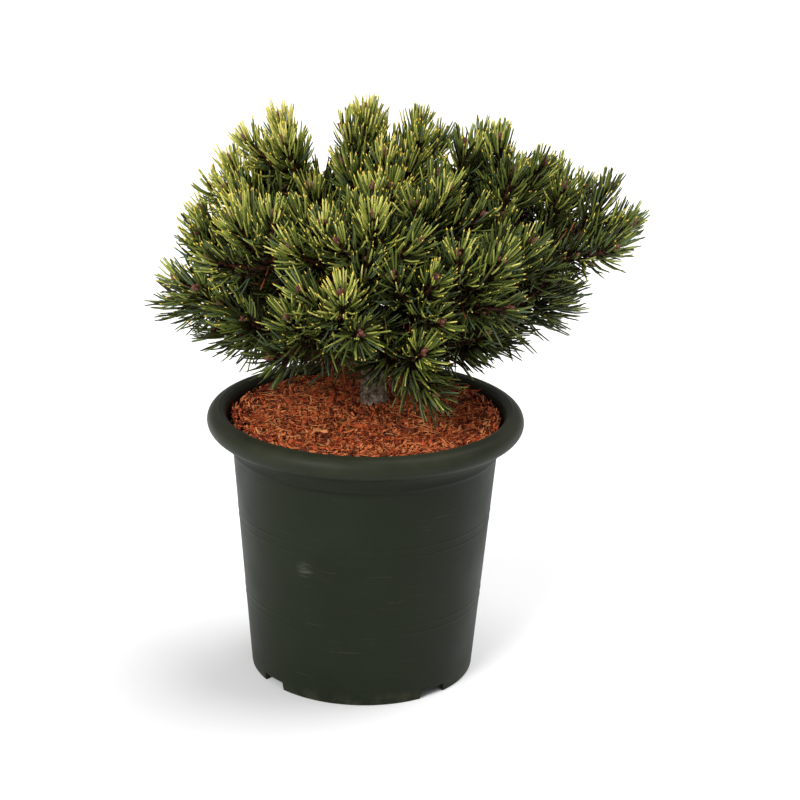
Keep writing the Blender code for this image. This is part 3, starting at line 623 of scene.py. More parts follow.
def chips(rng, count, lengths, widths, depth, tilt):
    """Bark chips: six-cornered flakes, each corner swayed, bent along the length, top face drawn in.

    A chip near the pot's wall is turned along it, and is moved in until its outline clears the wall.
    """
    long = rng.uniform(*lengths, count) / 2
    wide = np.minimum(rng.uniform(*widths, count) / 2, long * 0.6)
    thick = np.clip(wide * rng.uniform(*CHIP_THICK, count), *CHIP_THICK_LIMITS)
    outline = CHIP_CORNERS + rng.uniform(-CHIP_SWAY, CHIP_SWAY, (count, 6, 2))
    x, y = outline[..., 0] * long[:, None], outline[..., 1] * wide[:, None]
    bend = rng.uniform(-CHIP_BEND, CHIP_BEND, count)[:, None] * x * x / long[:, None]
    local = np.concatenate([np.stack([x * draw, y * draw, bend + side * thick[:, None]], -1)
                            for side, draw in ((-1, 1.0), (1, CHIP_TOP_DRAW))], 1)
    bearing = rng.uniform(0, 2 * np.pi, count)
    radius = np.sqrt(rng.uniform(0, 1, count)) * FILL_R
    by_wall = radius > WALL_ZONE * FILL_R
    lift = rng.uniform(-0.0008, depth, count) + by_wall * rng.uniform(0, WALL_STAND, count)
    wall = FILL_R - CLEARANCE + LIP_SLOPE * (MULCH_EDGE_Z + lift - BED_SINK - NECK_TOP_Z)
    yaw = np.where(by_wall, bearing + np.pi / 2 + rng.normal(0, WALL_SWAY, count),
                   rng.uniform(0, 2 * np.pi, count))
    pitch = rng.normal(0, tilt, count) * np.where(by_wall, 0.5, 1.0)
    turn = turned_frames(yaw, pitch, rng.normal(0, tilt * 1.3, count))
    along, aside = (np.abs(wave(yaw - bearing)) * 1.25 for wave in (np.cos, np.sin))
    most = np.sqrt(wall ** 2 - (long * aside + wide * along) ** 2) - long * along - wide * aside
    radius = np.minimum(radius, most)
    place = round_z(radius, bearing)
    x, y, _ = place.T
    place[:, 2] = bed_height(x, y) + lift + CHIP_LUMPS[0] * lattice_noise(place, CHIP_LUMPS[1], 8)
    keep = from_trunk(x, y) > TRUNK_RADII[1][1] + long * 0.25
    verts = (np.einsum("nij,nkj->nki", turn, local) + place[:, None])[keep]
    start = (np.arange(len(verts)) * 12)[:, None, None]
    k = np.arange(6)
    sides = np.stack([k, (k + 1) % 6, 6 + (k + 1) % 6, 6 + k], -1)[None] + start
    return verts.reshape(-1, 3), sides, np.stack([k[::-1], 6 + k])[None] + start


def lying_spikes(rng, count, lengths, girths, lift):
    """Fibres and fallen needles: arcs that lie on the bed, thinning to a point."""
    long = rng.uniform(*lengths, count)
    bearing, turn = rng.uniform(0, 2 * np.pi, (2, count))
    radius = np.sqrt(rng.uniform(0, 1, count)) * (FILL_R - 0.003 - long / 2)
    along = round_z(1.0, turn, rng.uniform(-0.12, 0.12, count))
    aside = round_z(1.0, turn + np.pi / 2)
    step = np.linspace(-0.5, 0.5, 5)[:, None]
    bow = rng.uniform(-0.16, 0.16, count)[:, None, None] * (1 - 4 * step ** 2)
    off = along[:, None] * step + aside[:, None] * bow
    place = round_z(radius, bearing)[:, None] + off * long[:, None, None]
    x, y = place[..., 0], place[..., 1]
    place[..., 2] += (bed_height(x, y).max(1) + rng.uniform(*lift, count))[:, None]
    place = place[from_trunk(x, y).min(1) > TRUNK_RADII[0][1]]
    return carried(place, rng.uniform(*girths, len(place))[:, None] * SPIKE_GIRTH, 3)


def shredded_bark(name, low, high, grain):
    """Dry shredded pine bark, fibrous and dull: tone runs between two browns with a streaky grain."""
    made, tree, shader = new_material(name, low, 0.82, ior=1.5, specular=0.3)
    place = object_place(tree)
    tone = ramped(tree, noise(tree, place, 150.0, 6.0, 0.68), (0.34, low), (0.66, high))
    # fibres under 1 mm apart
    finished(tree, shader, tone, noise(tree, place, grain, 4.0, 0.6), 0.6, 0.0006)
    return made


# Trunk and limbs

def trunk_axis(z):
    return TRUNK_FOOT + (TRUNK_TOP - TRUNK_FOOT) * (np.asarray(z)[..., None] - TRUNK_FOOT[2]) / (
        TRUNK_TOP[2] - TRUNK_FOOT[2])


def barked(path, radii, sides, plate, depth, seed):
    """Limb with bark: circles carried along the path, their radius less a crack between plates.

    The crack is deepest where the gap between plates is nil, each plate stands at its own height,
    and fine noise roughens it. Both ends close on a point at the middle.
    """
    runs = unit(np.gradient(path, axis=0))
    across = unit(np.cross(runs, np.array([0.0, 1.0, 0.05])))
    turn = 2 * np.pi * np.arange(sides) / sides
    spokes = turned(across[:, None], np.cross(across, runs)[:, None], turn)
    around = max(4, int(round(2 * np.pi * radii.max() / plate)))
    column, row = np.broadcast_arrays(turn / (2 * np.pi) * around, (run_along(path) / (plate * 1.7))[:, None])
    plain = path[:, None] + spokes * radii[:, None, None]
    sway = lattice_noise(plain, plate * 0.8, seed) * 0.28
    gap, own = plates(column + sway, row + sway, around, seed)
    crack = np.clip(1 - gap / 0.22, 0, 1) ** 1.5
    relief = depth * (0.55 * own - crack + 0.22 * lattice_noise(plain, plate * 0.22, seed + 1))
    girth = radii[:, None] + relief * np.minimum(1, radii[:, None] / radii.max())
    return capped(path[:, None] + spokes * girth[..., None], path[0], path[-1])


def pine_bark(colours):
    """Flaky bark of a young pine, dry and matt: grey-brown plates, darker cracks, a little pale lichen."""
    made, tree, shader = new_material("pine_bark", colours.bark, 0.88, ior=1.5, specular=0.25)
    place = object_place(tree)
    tone = ramped(tree, noise(tree, place, 170.0, 7.0, 0.72),
                  (0.36, colours.bark_dark), (0.50, colours.bark), (0.62, colours.bark_pale))
    spots = ranged(tree, noise(tree, place, 320.0, 3.0), 0.58, 0.66, 0.0, 0.8)
    look = laid(tree, spots, tone, colours.lichen)
    finished(tree, shader, look, scales(tree, place, 260.0), 0.5, 0.0008)
    return made


# Crown

def side_frame(direction):
    """Right hand and upward vectors square to a direction."""
    side = np.cross(direction, UP)
    if np.linalg.norm(side) < 1e-3:
        side = np.array([1.0, 0.0, 0.0])
    side = unit(side)
    return side, np.cross(side, direction)


def branched(rng, aim, roll, spread_deg):
    """Direction of a shoot that leaves its parent by a spread, rolled round it, and rises a little."""
    roll = roll + rng.uniform(-ROLL_SWAY, ROLL_SWAY)
    tilt = np.radians(spread_deg) * rng.uniform(*SPREAD_SWAY)
    return unit(unit(turned(aim, turned(*side_frame(aim), roll), tilt)) + UP * SIDE_RISE)


# A shoot of a mass: root, start of its needles, direction and length; rank 0 leads, 1 is a side
# shoot, 2 a finer one behind the leader
Shoot = namedtuple("Shoot", "mass root base aim length rank")


def grow_crown():
    """The frame's rule: a limb curve for each mass, a leading shoot and side shoots from its end.

    Shoots are (mass, root, base, direction, length, rank), rank 0 for a leader, 1 for a side shoot.
    """
    rng = np.random.default_rng(CROWN_SEED)
    limbs, shoots = {}, []
    for rank, (name, (bearing, reach, height, lift, spread, turns)) in enumerate(CROWN.items()):
        angle = np.radians(bearing)
        out = np.array([np.cos(angle), np.sin(angle), 0.0])
        bud = TRUNK_FOOT * (1, 1, 0) + out * reach + UP * height
        share = rank / (len(CROWN) - 1)
        root = trunk_axis(LOWEST_LIMB_Z + (HIGHEST_LIMB_Z - LOWEST_LIMB_Z) * share)
        start = unit(out * LIMB_START_OUT + UP * LIMB_START_UP)
        if share == 1:
            root, start = TRUNK_TOP, unit(TRUNK_TOP - TRUNK_FOOT)
        aim = unit(unit(bud - root) + UP * lift)
        node = bud - aim * (BRUSH + BARE)
        pull = np.linalg.norm(node - root) * LIMB_PULL
        limbs[name] = (root, root + start * pull, node - aim * pull, node)
        shoots.append(Shoot(name, node, node + aim * BARE, aim, BRUSH, 0))
        for turn in turns:
            aim_k = branched(rng, aim, np.radians(turn), spread)
            length = BRUSH * rng.uniform(*SIDE_LENGTH)
            bare = BARE + rng.uniform(*SIDE_BARE_MORE)
            root_k = node - aim * rng.uniform(0.0, ROOT_STEP)
            shoots.append(Shoot(name, root_k, root_k + aim_k * bare, aim_k, length, 1))
    return limbs, shoots


def limb_run(ends):
    """Steps of a limb's curve and how far along the limb each of them lies."""
    t = np.linspace(0, 1, 200)
    return t, run_along(bezier(ends, t))


def limb_point(ends, back):
    """Point and direction on a limb at a distance back from its outer end."""
    t, run = limb_run(ends)
    if back > run[-1] * 0.6:
        return None, None
    at = np.interp(run[-1] - back, run, t)
    a, b = bezier(ends, at), bezier(ends, max(at - 0.01, 0))
    return a, unit(a - b)


def grow_finer(limbs):
    """The same rule one step finer: short shoots behind each leader, turned by the golden angle."""
    rng = np.random.default_rng(CROWN_SEED + 2)
    shoots = []
    for rank, (name, ends) in enumerate(limbs.items()):
        for step, back in enumerate(FINER_BACK):
            root, aim = limb_point(ends, back + rng.uniform(-0.003, 0.003))
            if root is None:
                continue
            aim_k = branched(rng, aim, GOLDEN_TURN * (step + rank * 1.7), FINER_SPREAD_DEG)
            length = BRUSH * rng.uniform(*FINER_LENGTH)
            shoots.append(Shoot(name, root, root + aim_k * FINER_BARE, aim_k, length, 2))
    return shoots


def in_wedge(points):
    """Whether points lie in the wedge of sky between the left and the middle top."""
    above = points[..., 2] - WEDGE_FOOT[2] + WEDGE_FALL * (points[..., 1] - WEDGE_FOOT[1])
    return (above > 0) & (np.abs(points[..., 0] - WEDGE_FOOT[0]) < WEDGE_HALF + WEDGE_FLARE * above)


def all_shoots():
    """Limbs, and every shoot of the crown whose bud stays clear of the wedge of sky."""
    limbs, shoots = grow_crown()
    shoots = shoots + grow_finer(limbs)
    return limbs, [shoot for shoot in shoots if not in_wedge(along_shoot(shoot, 1.0)[0])]


def crown_share(z):
    """Height in the crown: 0 for the lowest masses, 1 from the upper ones on."""
    return np.clip((z - CROWN_LOW) / CROWN_TALL, 0, 1)


def needle_paths(root, aim, radial, lean, bend_in, rise, reach):
    """Paths (n, stations, 3) of needles: each stretch points where the lean has got to by its middle.

    The lean off the shoot falls evenly from base to tip, where the share bend_in of it is gone, and
    the direction rises with the share of the length, so a needle is an arc that keeps its length.
    """
    middle = (STATIONS[1:] + STATIONS[:-1]) / 2
    angle = (lean[:, None] * (1 - bend_in[:, None] * middle))[..., None]
    run = aim[:, None] * np.cos(angle) + radial[:, None] * np.sin(angle)
    run = unit(run + UP * (rise[:, None] * middle)[..., None])
    steps = run * (np.diff(STATIONS) * reach[:, None])[..., None]
    return root[:, None] + np.concatenate([np.zeros((len(root), 1, 3)), np.cumsum(steps, 1)], 1)


def along_shoot(shoot, share):
    """Points and directions on a shoot, which curves up: its direction gains rise * share upwards."""
    share = np.asarray(share, float)[..., None]
    rise = UP * SHOOT_RISE * np.maximum(share, 0)
    return shoot.base + shoot.length * (shoot.aim * share + rise * 0.5 * share), unit(shoot.aim + rise)


def needles_on(shoot, rng, sizes):
    """Needles of one shoot, in pairs set at the golden angle, with their share along the shoot."""
    high = crown_share(shoot.base[2])
    thin = 1.0 if shoot.rank == 0 else 0.75 + 0.25 * high
    pairs = int(sizes.pairs_per_cm * thin * (shoot.length + 0.004) * 100)
    share = (np.arange(pairs) + rng.uniform(0, 1, pairs)) / pairs
    turn = np.arange(pairs) * GOLDEN_TURN + rng.uniform(0, 2 * np.pi) + rng.uniform(-0.4, 0.4, pairs)
    lean = LEAN_REAR_DEG + (LEAN_TIP_DEG - LEAN_REAR_DEG) * share + rng.normal(0, LEAN_SWAY_DEG, pairs)
    share, turn, lean = (np.repeat(v, 2) for v in (share, turn, np.radians(lean)))
    count = len(share)
    turn = turn + np.tile([-1, 1], pairs) * np.radians(PAIR_SPREAD_DEG) + rng.normal(0, 0.06, count)
    root, aim = along_shoot(shoot, ((shoot.length + 0.001) * share - 0.004) / shoot.length)
    radial = turned(*side_frame(shoot.aim), turn)
    radial = unit(radial - aim * (radial * aim).sum(1)[:, None])
    reach = sizes.needle_length * np.repeat(rng.uniform(0.78, 1.05, pairs), 2) * rng.uniform(0.94, 1.0, count)
    reach *= np.interp(share, *REACH_ALONG) * (REACH_LOW - REACH_FALL * high)
    least, most = (low + (top - low) * high for low, top in zip(UPSWEEP_LOW, UPSWEEP_HIGH))
    return needle_paths(root + radial * 0.0010, aim, radial, lean, rng.uniform(*BEND_IN, count),
                        rng.uniform(least, most, count), reach), share


def any_side(rng, aim):
    """Random directions square to the given ones."""
    return unit(np.cross(aim, rng.normal(0, 1, aim.shape)))


def old_needles(ends, rng, sizes):
    """Last year's needles on a limb's outer end, thinner on the ground and standing off more."""
    t, run = limb_run(ends)
    back = min(OLD_BACK, run[-1] * 0.7)
    count = int(sizes.old_per_cm * back * 100)
    at = np.interp(run[-1] - rng.uniform(-0.012, back, count), run, t)
    root = bezier(ends, at)
    aim = unit(bezier(ends, np.minimum(at + 0.02, 1)) - bezier(ends, np.maximum(at - 0.02, 0)))
    away = any_side(rng, aim)
    lean = np.radians(rng.uniform(*OLD_LEAN_DEG, count))
    return needle_paths(root, aim, away, lean, rng.uniform(*OLD_BEND, count), rng.uniform(*OLD_RISE, count),
                        sizes.needle_length * rng.uniform(*OLD_REACH, count))


def hanging_needles(ends, rng, sizes):
    """Dead needles caught on the inner part of a low limb, hanging down with a little spread."""
    left = ends[3][0] < ends[0][0]
    count = int(sizes.hanging * (1 - crown_share(ends[3][2] - 0.02)) * (1.0 if left else HANGING_RIGHT))
    root = bezier(ends, rng.uniform(0.10, 0.60, count))
    out = unit((ends[3] - ends[0]) * (1, 1, 0))
    aim = unit(out * rng.uniform(-0.1, 0.8, (count, 1)) + rng.normal(0, 0.30, (count, 3)) - UP)
    away = any_side(rng, aim)
    return needle_paths(root, aim, away, np.full(count, HANGING_LEAN), rng.uniform(*HANGING_BEND, count),
                        rng.uniform(*HANGING_RISE, count),
                        sizes.needle_length * rng.uniform(*HANGING_REACH, count))


def in_reach(paths):
    """Shortens needles that would pass the frame's box, and drops those that would meet pot or mulch."""
    low, high = np.array(CAD_BOX[0]), np.array(CAD_BOX[1])
    root = paths[:, :1]
    off = paths - root
    over = np.maximum(off / np.maximum(high - root, 1e-4), off / np.minimum(low - root, -1e-4))
    paths = root + off / np.maximum(over.max((1, 2)), 1)[:, None, None]
    x, y, z = np.moveaxis(paths, -1, 0)
    radius = np.hypot(x, y)
    on_lip = (radius > LIP_INNER_R - 2 * OVER_LIP) & (radius < LIP_CENTRE_R + LIP_ROUND + OVER_LIP)
    on_lip &= z < LIP_CENTRE_Z + LIP_ROUND + OVER_LIP
    in_bed = (radius < LIP_INNER_R) & (z < bed_height(x, y) + OVER_BED)
    return paths, ~(on_lip | in_bed | in_wedge(paths)).any(1)


def dealt(rng, count, weights):
    """Colour kinds drawn by weight."""
    return rng.choice(len(weights), count, p=np.array(weights) / sum(weights))


def all_along(kind):
    """The same colour kind on the four stretches of a spike."""
    return np.repeat(kind[:, None], 4, 1)


def spike_slots(kinds):
    """Material of each face of three-sided spikes from the kinds (n, 4) of their stretches."""
    return [np.repeat(kinds[:, :3].ravel(), 3), np.repeat(kinds[:, 3], 3), kinds[:, 0]]


def all_needles(sizes):
    """Needles of every mass as (mass, paths, colour kinds of the stretches from base to tip).

    A shoot high in the crown, to its left or low in front has more needles in lit colours, painted light;
    side and finer shoots, the rear of a shoot and the needle bases take shaded colours, painted shade.
    Each needle grows lighter towards its tip, and its last stretch may be gold, more often where the
    painted light is strong.
    """
    rng = np.random.default_rng(CROWN_SEED + 3)
    limbs, shoots = all_shoots()
    found = []
    for shoot in shoots:
        paths, share = needles_on(shoot, rng, sizes)
        x, y, z = along_shoot(shoot, 1.0)[0]
        high = crown_share(z - 0.01)
        # painted light on the low shoots in front, which the crown shades from the light above
        front = np.clip(FRONT_GAIN * (y + FRONT_Y), 0, FRONT_MOST)
        front *= np.clip((x + FRONT_LEFT) / FRONT_FADE, 0, 1) * (1 - high)
        # painted light high up and on the left, painted shade on the right
        painted_light = PAINTED_LIGHT_LOW + (PAINTED_LIGHT_HIGH + PAINTED_LIGHT_LEFT * max(-x, 0)) * high - PAINTED_SHADE_RIGHT * max(x, 0)
        painted_light = np.clip(painted_light + front + rng.normal(0, PAINTED_LIGHT_SWAY), *PAINTED_LIGHT_LIMITS)
        # painted light on the leaders, painted shade on side shoots low down, on finer shoots and towards
        # each shoot's rear
        painted_light = painted_light * (1.2, 0.40 + 0.60 * high, 0.12)[shoot.rank] * (0.45 + 0.55 * share)
        chance = rng.uniform(0, 1, (6, len(paths)))
        level = (chance[0] < GREEN_MORE + painted_light).astype(int) + (chance[1] < painted_light * FRESH_AND_LIT_GAIN)
        outer = np.minimum(level + (chance[2] < painted_light ** 2), PALE)
        # gold tips go with the painted light: partly the plant's own yellow tips, partly a painted highlight
        tip = np.where(chance[3] < painted_light, GOLD, outer)
        # painted shade: dark bases on the needles, fewer where the painted light is strong
        base = np.where(chance[4] < SHADE - SHADE_FALL * painted_light, SHADED, np.maximum(level - 1, 0))
        kinds = np.stack([base, level, outer, tip], 1)
        kinds[chance[5] < BLOOM - BLOOM_FALL * painted_light, 1:3] = BLUISH
        found.append((shoot.mass, paths, kinds))
    for name, ends in limbs.items():
        # old and hanging needles are mostly shaded: partly their own dead colour, partly painted shade deep
        # inside
        for grown, kinds, weights in ((old_needles, (SHADED, DEEP, RUST), OLD_KINDS),
                                      (hanging_needles, (RUST, SHADED, MID), HANGING_KINDS)):
            paths = grown(ends, rng, sizes)
            found.append((name, paths, all_along(np.array(kinds)[dealt(rng, len(paths), weights)])))
    return found


def pine_needle(name, colour, roughness):
    """Pine needle, waxed and finely ribbed: satin. Its place in the crown, with the light and shade there, is
    painted in plain colours.
    """
    return new_material(name, colour, roughness, ior=1.45, specular=0.28)[0]


def twig_bark(colours):
    """Young twig bark, scaly with leaf bases: red-brown with darker steps about 2 mm apart."""
    made, tree, shader = new_material("twig_bark", colours.twig, 0.7, ior=1.5, specular=0.3)
    scale = scales(tree, object_place(tree), 480.0)
    tone = ramped(tree, scale, (0.10, colours.twig), (0.75, np.multiply(colours.twig, 0.35)))
    finished(tree, shader, tone, scale, 0.6, 0.0006, invert=True)
    return made


def bud_scales(colours):
    """Resinous winter buds: overlapping papery scales about 1 mm long, mauve-brown with pale edges."""
    made, tree, shader = new_material("bud_scales", colours.bud, 0.5, ior=1.5)
    scale = scales(tree, object_place(tree), 900.0)
    tone = ramped(tree, scale, (0.15, colours.bud_pale), (0.45, colours.bud),
                  (0.85, np.multiply(colours.bud, 0.3)))
    finished(tree, shader, tone, scale, 0.7, 0.0005, invert=True)
    return made


# Sizes and colours

def colour(name, about, hex_colour):
    """A colour in the sidebar, told as sRGB hex."""
    return FloatVectorProperty(name=name, description=about, default=linear(hex_colour), subtype="COLOR")


def metres(name, about, value):
    return FloatProperty(name=name, description=about, default=value, unit="LENGTH")


def amount(name, about, value):
    """A strength or a number of pieces in the sidebar."""
    kind = IntProperty if isinstance(value, int) else FloatProperty
    return kind(name=name, description=about, default=value)


class PinePotSizes(bpy.types.PropertyGroup):
    """Sizes and colours of the pot's finish."""
    bead_height: metres("Bead height", "Height of the fine bead on the lip", 0.0005)
    bead_width: metres("Bead width", "Half width of the bead", 0.0009)
    bead_inset: metres("Bead inset", "Distance of the bead from the lip's inner edge", 0.0046)
    ring_height: metres("Ring height", "Height of the fine rings on the wall", 0.00022)
    ring_width: metres("Ring width", "Half width of a ring", 0.0007)
    wall: colour("Wall", "Plastic", "1A2015")
    scuff: colour("Scuffs", "Scuffs and scratches", "4C4E43")
    # the dust colour also lightens the lip's top as a painted highlight
    dust_and_sheen: colour("Dust", "Dust at the foot and on the lip", "54503F")
    soil: colour("Soil", "Specks of soil", "15130F")


class PineMulchSizes(bpy.types.PropertyGroup):
    """Amounts and colours of the bark mulch."""
    small: amount("Small chips", "Number of chips of 3 to 11 mm", 9000)
    large: amount("Large chips", "Number of chips of 10 to 21 mm", 150)
    fibres: amount("Fibres", "Number of loose fibres", 3200)
    fallen: amount("Fallen needles", "Number of needles on the mulch", 60)
    dark: colour("Dark", "Darkest chips", "3C140A")
    brown: colour("Brown", "Brown chips", "A04520")
    rust: colour("Rust", "Bright chips", "CC5C2C")
    tan: colour("Tan", "Palest chips", "F29C60")


class PineBarkSizes(bpy.types.PropertyGroup):
    """Sizes and colours of the bark on trunk, boughs and twigs."""
    plate: metres("Plate", "Width of a bark plate", 0.0042)
    depth: metres("Depth", "Depth of the cracks", 0.0008)
    bark: colour("Bark", "Bark plates", "7C6858")
    bark_dark: colour("Dark bark", "Darkest patches of the bark", "35261F")
    bark_pale: colour("Pale bark", "Weathered bark", "B0A292")
    lichen: colour("Lichen", "Spots of lichen", "8F9478")
    twig: colour("Twig", "Young twigs", "6A3B2A")
    bud: colour("Bud", "Bud scales", "6E3A2A")
    bud_pale: colour("Bud edge", "Pale parts of the bud scales", "986A5A")


class PineNeedleSizes(bpy.types.PropertyGroup):
    """Sizes, amounts and colours of the needles."""
    needle_length: metres("Length", "Length of a long needle", 0.0335)
    needle_width: metres("Width", "Width of a needle", 0.00155)
    pairs_per_cm: amount("Pairs per cm", "Pairs of needles per cm of shoot", 11.0)
    old_per_cm: amount("Old per cm", "Old needles per cm of limb", 14.0)
    hanging: amount("Hanging", "Dead needles caught on each low limb", 26)
    # deep, fresh and lit, pale and gold are dealt by place in the crown, partly as painted light and shade
    deep: colour("Deep", "Deep green needles", "2F3312")
    mid: colour("Mid", "Most needles", "606C2F")
    fresh_and_lit: colour("Fresh", "Sunlit needles", "A2A84F")
    pale: colour("Pale", "Outer ends of sunlit needles", "D8D076")
    bluish: colour("Bluish", "Bloomed needles", "55664A")
    gold: colour("Gold", "Needle tips", "EACB54")
    # shaded is painted shade on needle bases, and partly painted shade on old needles deep inside
    shaded: colour("Shaded", "Old needles deep inside", "2C190D")
    tan: colour("Tan", "Fallen needles", "B08A54")
    rust: colour("Rust", "Dead needles", "94502A")


class PineStageSizes(bpy.types.PropertyGroup):
    """Floor and light."""
    floor: FloatVectorProperty(name="Floor", description="Floor colour", default=(0.86, 0.86, 0.86),
                               subtype="COLOR")
    key: amount("Key light", "Strength of the soft light from above", 2.7)
    front: amount("Front light", "Strength of the soft light from the front", 2.7)
    sky: amount("Fill", "Brightness of the even fill light", 0.43)


# Stage

def spun(one, other, angle):
    """Two square directions after a turn from the first towards the second."""
    return one * np.cos(angle) + other * np.sin(angle), other * np.cos(angle) - one * np.sin(angle)


def camera_matrix():
    """Camera in front, raised by its height angle, then tilted up, panned right and rolled a little."""
    rise, tilt, pan, roll = np.radians((CAMERA_RISE_DEG, CAMERA_TILT_DEG, CAMERA_PAN_DEG, CAMERA_ROLL_DEG))
    back = np.array([0, -np.cos(rise), np.sin(rise)])
    right, ahead = np.array([1.0, 0, 0]), -back
    above = np.cross(right, ahead)
    ahead, above = spun(ahead, above, tilt)
    ahead, right = spun(ahead, right, pan)
    right, above = spun(right, above, roll)
    matrix = np.eye(4)
    matrix[:3, :3] = np.stack([right, above, -ahead], 1)
    matrix[:3, 3] = CAMERA_TARGET + back * CAMERA_DISTANCE
    return Matrix(matrix.tolist())


def soft_light(name, bearing, spread_deg, strength):
    """Broad even light from one direction, soft as a large panel: its disc is spread_deg wide."""
    light = bpy.data.lights.new(name, "SUN")
    light.angle, light.energy = np.radians(spread_deg), strength
    made = bpy.data.objects.new(name, light)
    bpy.context.scene.collection.objects.link(made)
    made.rotation_mode = "QUATERNION"
    made.rotation_quaternion = Vector(bearing).to_track_quat("Z", "Y")


# Operators

class PINE_OT_pot(bpy.types.Operator):
    """Builds the nursery pot"""
    bl_idname = "pine.pot"
    bl_label = "Pot"

    def execute(self, context):
        sizes = context.scene.pine_pot
        put("pot_shell", pot_surface(sizes), [moulded_polypropylene(sizes)], replaces=["pot"])
        return {"FINISHED"}


class PINE_OT_mulch(bpy.types.Operator):
    """Builds the bed of bark mulch with its chips, fibres and fallen needles"""
    bl_idname = "pine.mulch"
    bl_label = "Bark mulch"

    def execute(self, context):
        sizes = context.scene.pine_mulch
        leaf = context.scene.pine_needles
        rng = np.random.default_rng(CROWN_SEED + 5)
        # the bed shows only in the gaps between chips; its bark, darker than any chip, is painted shade in
        # those gaps
        gap_shade_bark = shredded_bark("packed_bark_gap_shade", np.multiply(sizes.dark, 0.45), sizes.dark, 900.0)
        put("mulch_bed", mulch_bed(), [gap_shade_bark], replaces=["mulch"])
        barks = [shredded_bark(name, low, high, 1500.0) for name, low, high in (
            ("bark_dark", sizes.dark, np.multiply(sizes.brown, 0.6)), ("bark_brown", sizes.brown, sizes.rust),
            ("bark_rust", sizes.rust, np.multiply(sizes.tan, 0.8)),
            ("bark_tan", np.multiply(sizes.tan, 0.55), sizes.tan))]
        needles = [pine_needle("fallen_needle_tan", leaf.tan, 0.6),
                   pine_needle("fallen_needle_rust", leaf.rust, 0.6),
                   pine_needle("fallen_needle_green", leaf.mid, 0.55)]
        surface = joined([chips(rng, sizes.small, *SMALL_CHIPS), chips(rng, sizes.large, *LARGE_CHIPS)])
        kind = dealt(rng, len(surface[2]) // 2, CHIP_SHARES)
        slots = [np.repeat(kind, 6), np.repeat(kind, 2)]
        put("mulch_chips", surface, barks, slots, smooth=False)
        for name, finishes, slot, shares, count, plan in (
                ("mulch_fibres", barks, "mulch", FIBRE_SHARES, sizes.fibres, FIBRES),
                ("fallen_needles", needles, "needles", FALLEN_SHARES, sizes.fallen, FALLEN)):
            surface = lying_spikes(rng, count, *plan)
            kinds = all_along(dealt(rng, len(surface[3]), shares))
            put(name, surface, finishes, spike_slots(kinds))
        return {"FINISHED"}


class PINE_OT_bark(bpy.types.Operator):
    """Builds the trunk and boughs with the relief of their bark"""
    bl_idname = "pine.bark"
    bl_label = "Trunk and boughs"

    def execute(self, context):
        sizes = context.scene.pine_bark
        heights, radii = np.array(TRUNK_RADII).T
        height = np.linspace(0, heights[-1], 170)
        girth = np.interp(height, heights, radii)
        girth = np.convolve(np.pad(girth, 2, mode="edge"), np.full(5, 0.2), "valid")
        parts = [barked(trunk_axis(TRUNK_FOOT[2] + height), girth - 0.0004, 120, sizes.plate, sizes.depth, 1)]
        t = np.linspace(0.0, 1.0, 56)
        for k, ends in enumerate(grow_crown()[0].values()):
            path = np.concatenate([bezier(ends, t), [ends[3] + unit(ends[3] - ends[2]) * 0.002]])
            girth = LIMB_ROOT_R + (LIMB_TIP_R - LIMB_ROOT_R) * np.append(t, 1.0) - 0.0002
            parts.append(barked(path, girth, 16, 0.0030, 0.0004, 10 + k))
        boughs = [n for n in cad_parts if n.startswith("bough_")]
        put("bark_limbs", joined(parts), [pine_bark(sizes)], replaces=["trunk", *boughs])
        return {"FINISHED"}


class PINE_OT_twigs(bpy.types.Operator):
    """Builds the twigs inside the needles and the buds at their tips"""
    bl_idname = "pine.twigs"
    bl_label = "Twigs and buds"

    def execute(self, context):
        sizes = context.scene.pine_bark
        rng = np.random.default_rng(CROWN_SEED + 4)
        shoots = all_shoots()[1]
        paths = np.array([np.vstack([s.root - s.aim * 0.002, (s.root + s.base) / 2,
                                     along_shoot(s, (0.05, 0.4, 0.8, 1.0))[0]]) for s in shoots])
        slim = np.array([[0.75 if s.rank == 2 else 1.0] for s in shoots])
        put("twigs", carried(paths, slim * TWIG_GIRTH, 8), [twig_bark(sizes)])
        # a leading bud on each shoot, with two to four small ones round it
        buds = []
        for shoot in shoots:
            tip, aim = along_shoot(shoot, 0.97)
            side, lifted = side_frame(aim)
            size = (1.0, 0.85, 0.6)[shoot.rank]
            buds.append((*tip, *aim, BUD * 1.1 * size, 0.0025 * size))
            for turn in np.arange(rng.integers(2, 5) if shoot.rank < 2 else 0) * 1.9 + rng.uniform(0, 6):
                away = turned(side, lifted, turn)
                buds.append((*(tip + away * 0.0016), *unit(aim + away * 0.45),
                             BUD * rng.uniform(0.6, 0.85) * size, 0.0018 * size))
        buds = np.array(buds)[:, None]
        paths = buds[..., :3] + buds[..., 3:6] * BUD_STEPS[:, None] * buds[..., 6:7]
        put("buds", carried(paths, buds[:, 0, 7:] * BUD_GIRTH, 7), [bud_scales(sizes)])
        return {"FINISHED"}


class PINE_OT_needles(bpy.types.Operator):
    """Builds the needles of every mass, in a few pieces"""
    bl_idname = "pine.needles"
    bl_label = "Needles"

    def execute(self, context):
        sizes = context.scene.pine_needles
        finishes = [pine_needle(name, getattr(sizes, key), rough) for name, key, rough in NEEDLE_FINISHES]
        found = all_needles(sizes)
        for group in range(NEEDLE_GROUPS):
            mine = list(CROWN)[group::NEEDLE_GROUPS]
            _, paths, kinds = zip(*(f for f in found if f[0] in mine))
            paths, keep = in_reach(np.concatenate(paths))
            paths, kinds = paths[keep], np.concatenate(kinds)[keep]
            # the girth across three sides of a triangle as wide as the needle
            surface = carried(paths, sizes.needle_width / 1.73 * GIRTH * np.ones((len(paths), 1)), 3)
            put(f"needles_{group + 1}", surface, finishes, spike_slots(kinds), replaces=mine)
        return {"FINISHED"}


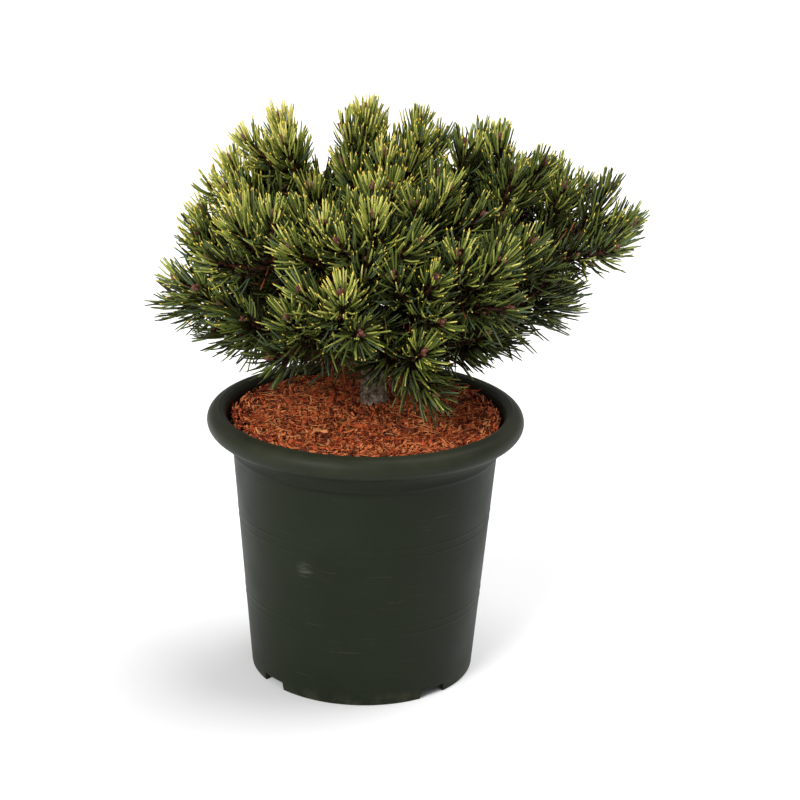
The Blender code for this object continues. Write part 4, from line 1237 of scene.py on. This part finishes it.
class PINE_OT_stage(bpy.types.Operator):
    """Sets the floor, the soft light and the camera"""
    bl_idname = "pine.stage"
    bl_label = "Stage"

    def execute(self, context):
        scene = context.scene
        sizes = scene.pine_stage
        mesh = bpy.data.meshes.new("studio_floor")
        mesh.from_pydata([(-6, -6, 0), (6, -6, 0), (6, 9, 0), (-6, 9, 0)], [], [(0, 1, 2, 3)])
        mesh.materials.append(new_material("matt_paper", sizes.floor, 0.9, specular=0.1)[0])
        floor = bpy.data.objects.new("studio_floor", mesh)
        scene.collection.objects.link(floor)
        world = bpy.data.worlds.new("even_fill")
        world.use_nodes = True
        fill = world.node_tree.nodes["Background"].inputs
        fill["Color"].default_value, fill["Strength"].default_value = (1.0, 1.0, 1.0, 1.0), sizes.sky
        scene.world = world
        soft_light("key_light", KEY_FROM, KEY_WIDE_DEG, sizes.key)
        soft_light("front_light", FRONT_FROM, FRONT_WIDE_DEG, sizes.front)
        scene.view_settings.view_transform = "Standard"
        camera = bpy.data.objects.new("camera", bpy.data.cameras.new("camera"))
        scene.collection.objects.link(camera)
        camera.data.sensor_width, camera.data.lens = 36.0, LENS
        camera.matrix_world = camera_matrix()
        scene.camera = camera
        return {"FINISHED"}


class PINE_PT_parts(bpy.types.Panel):
    """Lists the parts of the pine in the order they are built"""
    bl_idname = "PINE_PT_parts"
    bl_label = "Potted dwarf pine"
    bl_space_type = "VIEW_3D"
    bl_region_type = "UI"
    bl_category = "Pine"

    def draw(self, context):
        for operator in OPERATORS:
            self.layout.operator(operator.bl_idname)
        for name in GROUPS:
            group = getattr(context.scene, name)
            box = self.layout.box()
            for key in group.bl_rna.properties.keys():
                if key not in ("rna_type", "name"):
                    box.prop(group, key)


GROUPS = {"pine_pot": PinePotSizes, "pine_mulch": PineMulchSizes, "pine_bark": PineBarkSizes,
          "pine_needles": PineNeedleSizes, "pine_stage": PineStageSizes}
OPERATORS = (PINE_OT_pot, PINE_OT_mulch, PINE_OT_bark, PINE_OT_twigs, PINE_OT_needles, PINE_OT_stage)


def register():
    for name, group in GROUPS.items():
        bpy.utils.register_class(group)
        setattr(bpy.types.Scene, name, PointerProperty(type=group))
    for operator in OPERATORS:
        bpy.utils.register_class(operator)
    bpy.utils.register_class(PINE_PT_parts)


def unregister():
    bpy.utils.unregister_class(PINE_PT_parts)
    for operator in reversed(OPERATORS):
        bpy.utils.unregister_class(operator)
    for name, group in reversed(GROUPS.items()):
        delattr(bpy.types.Scene, name)
        bpy.utils.unregister_class(group)


def main():
    register()
    bpy.ops.pine.pot()
    bpy.ops.pine.mulch()
    bpy.ops.pine.bark()
    bpy.ops.pine.twigs()
    bpy.ops.pine.needles()
    bpy.ops.pine.stage()


if __name__ == "__main__":
    main()
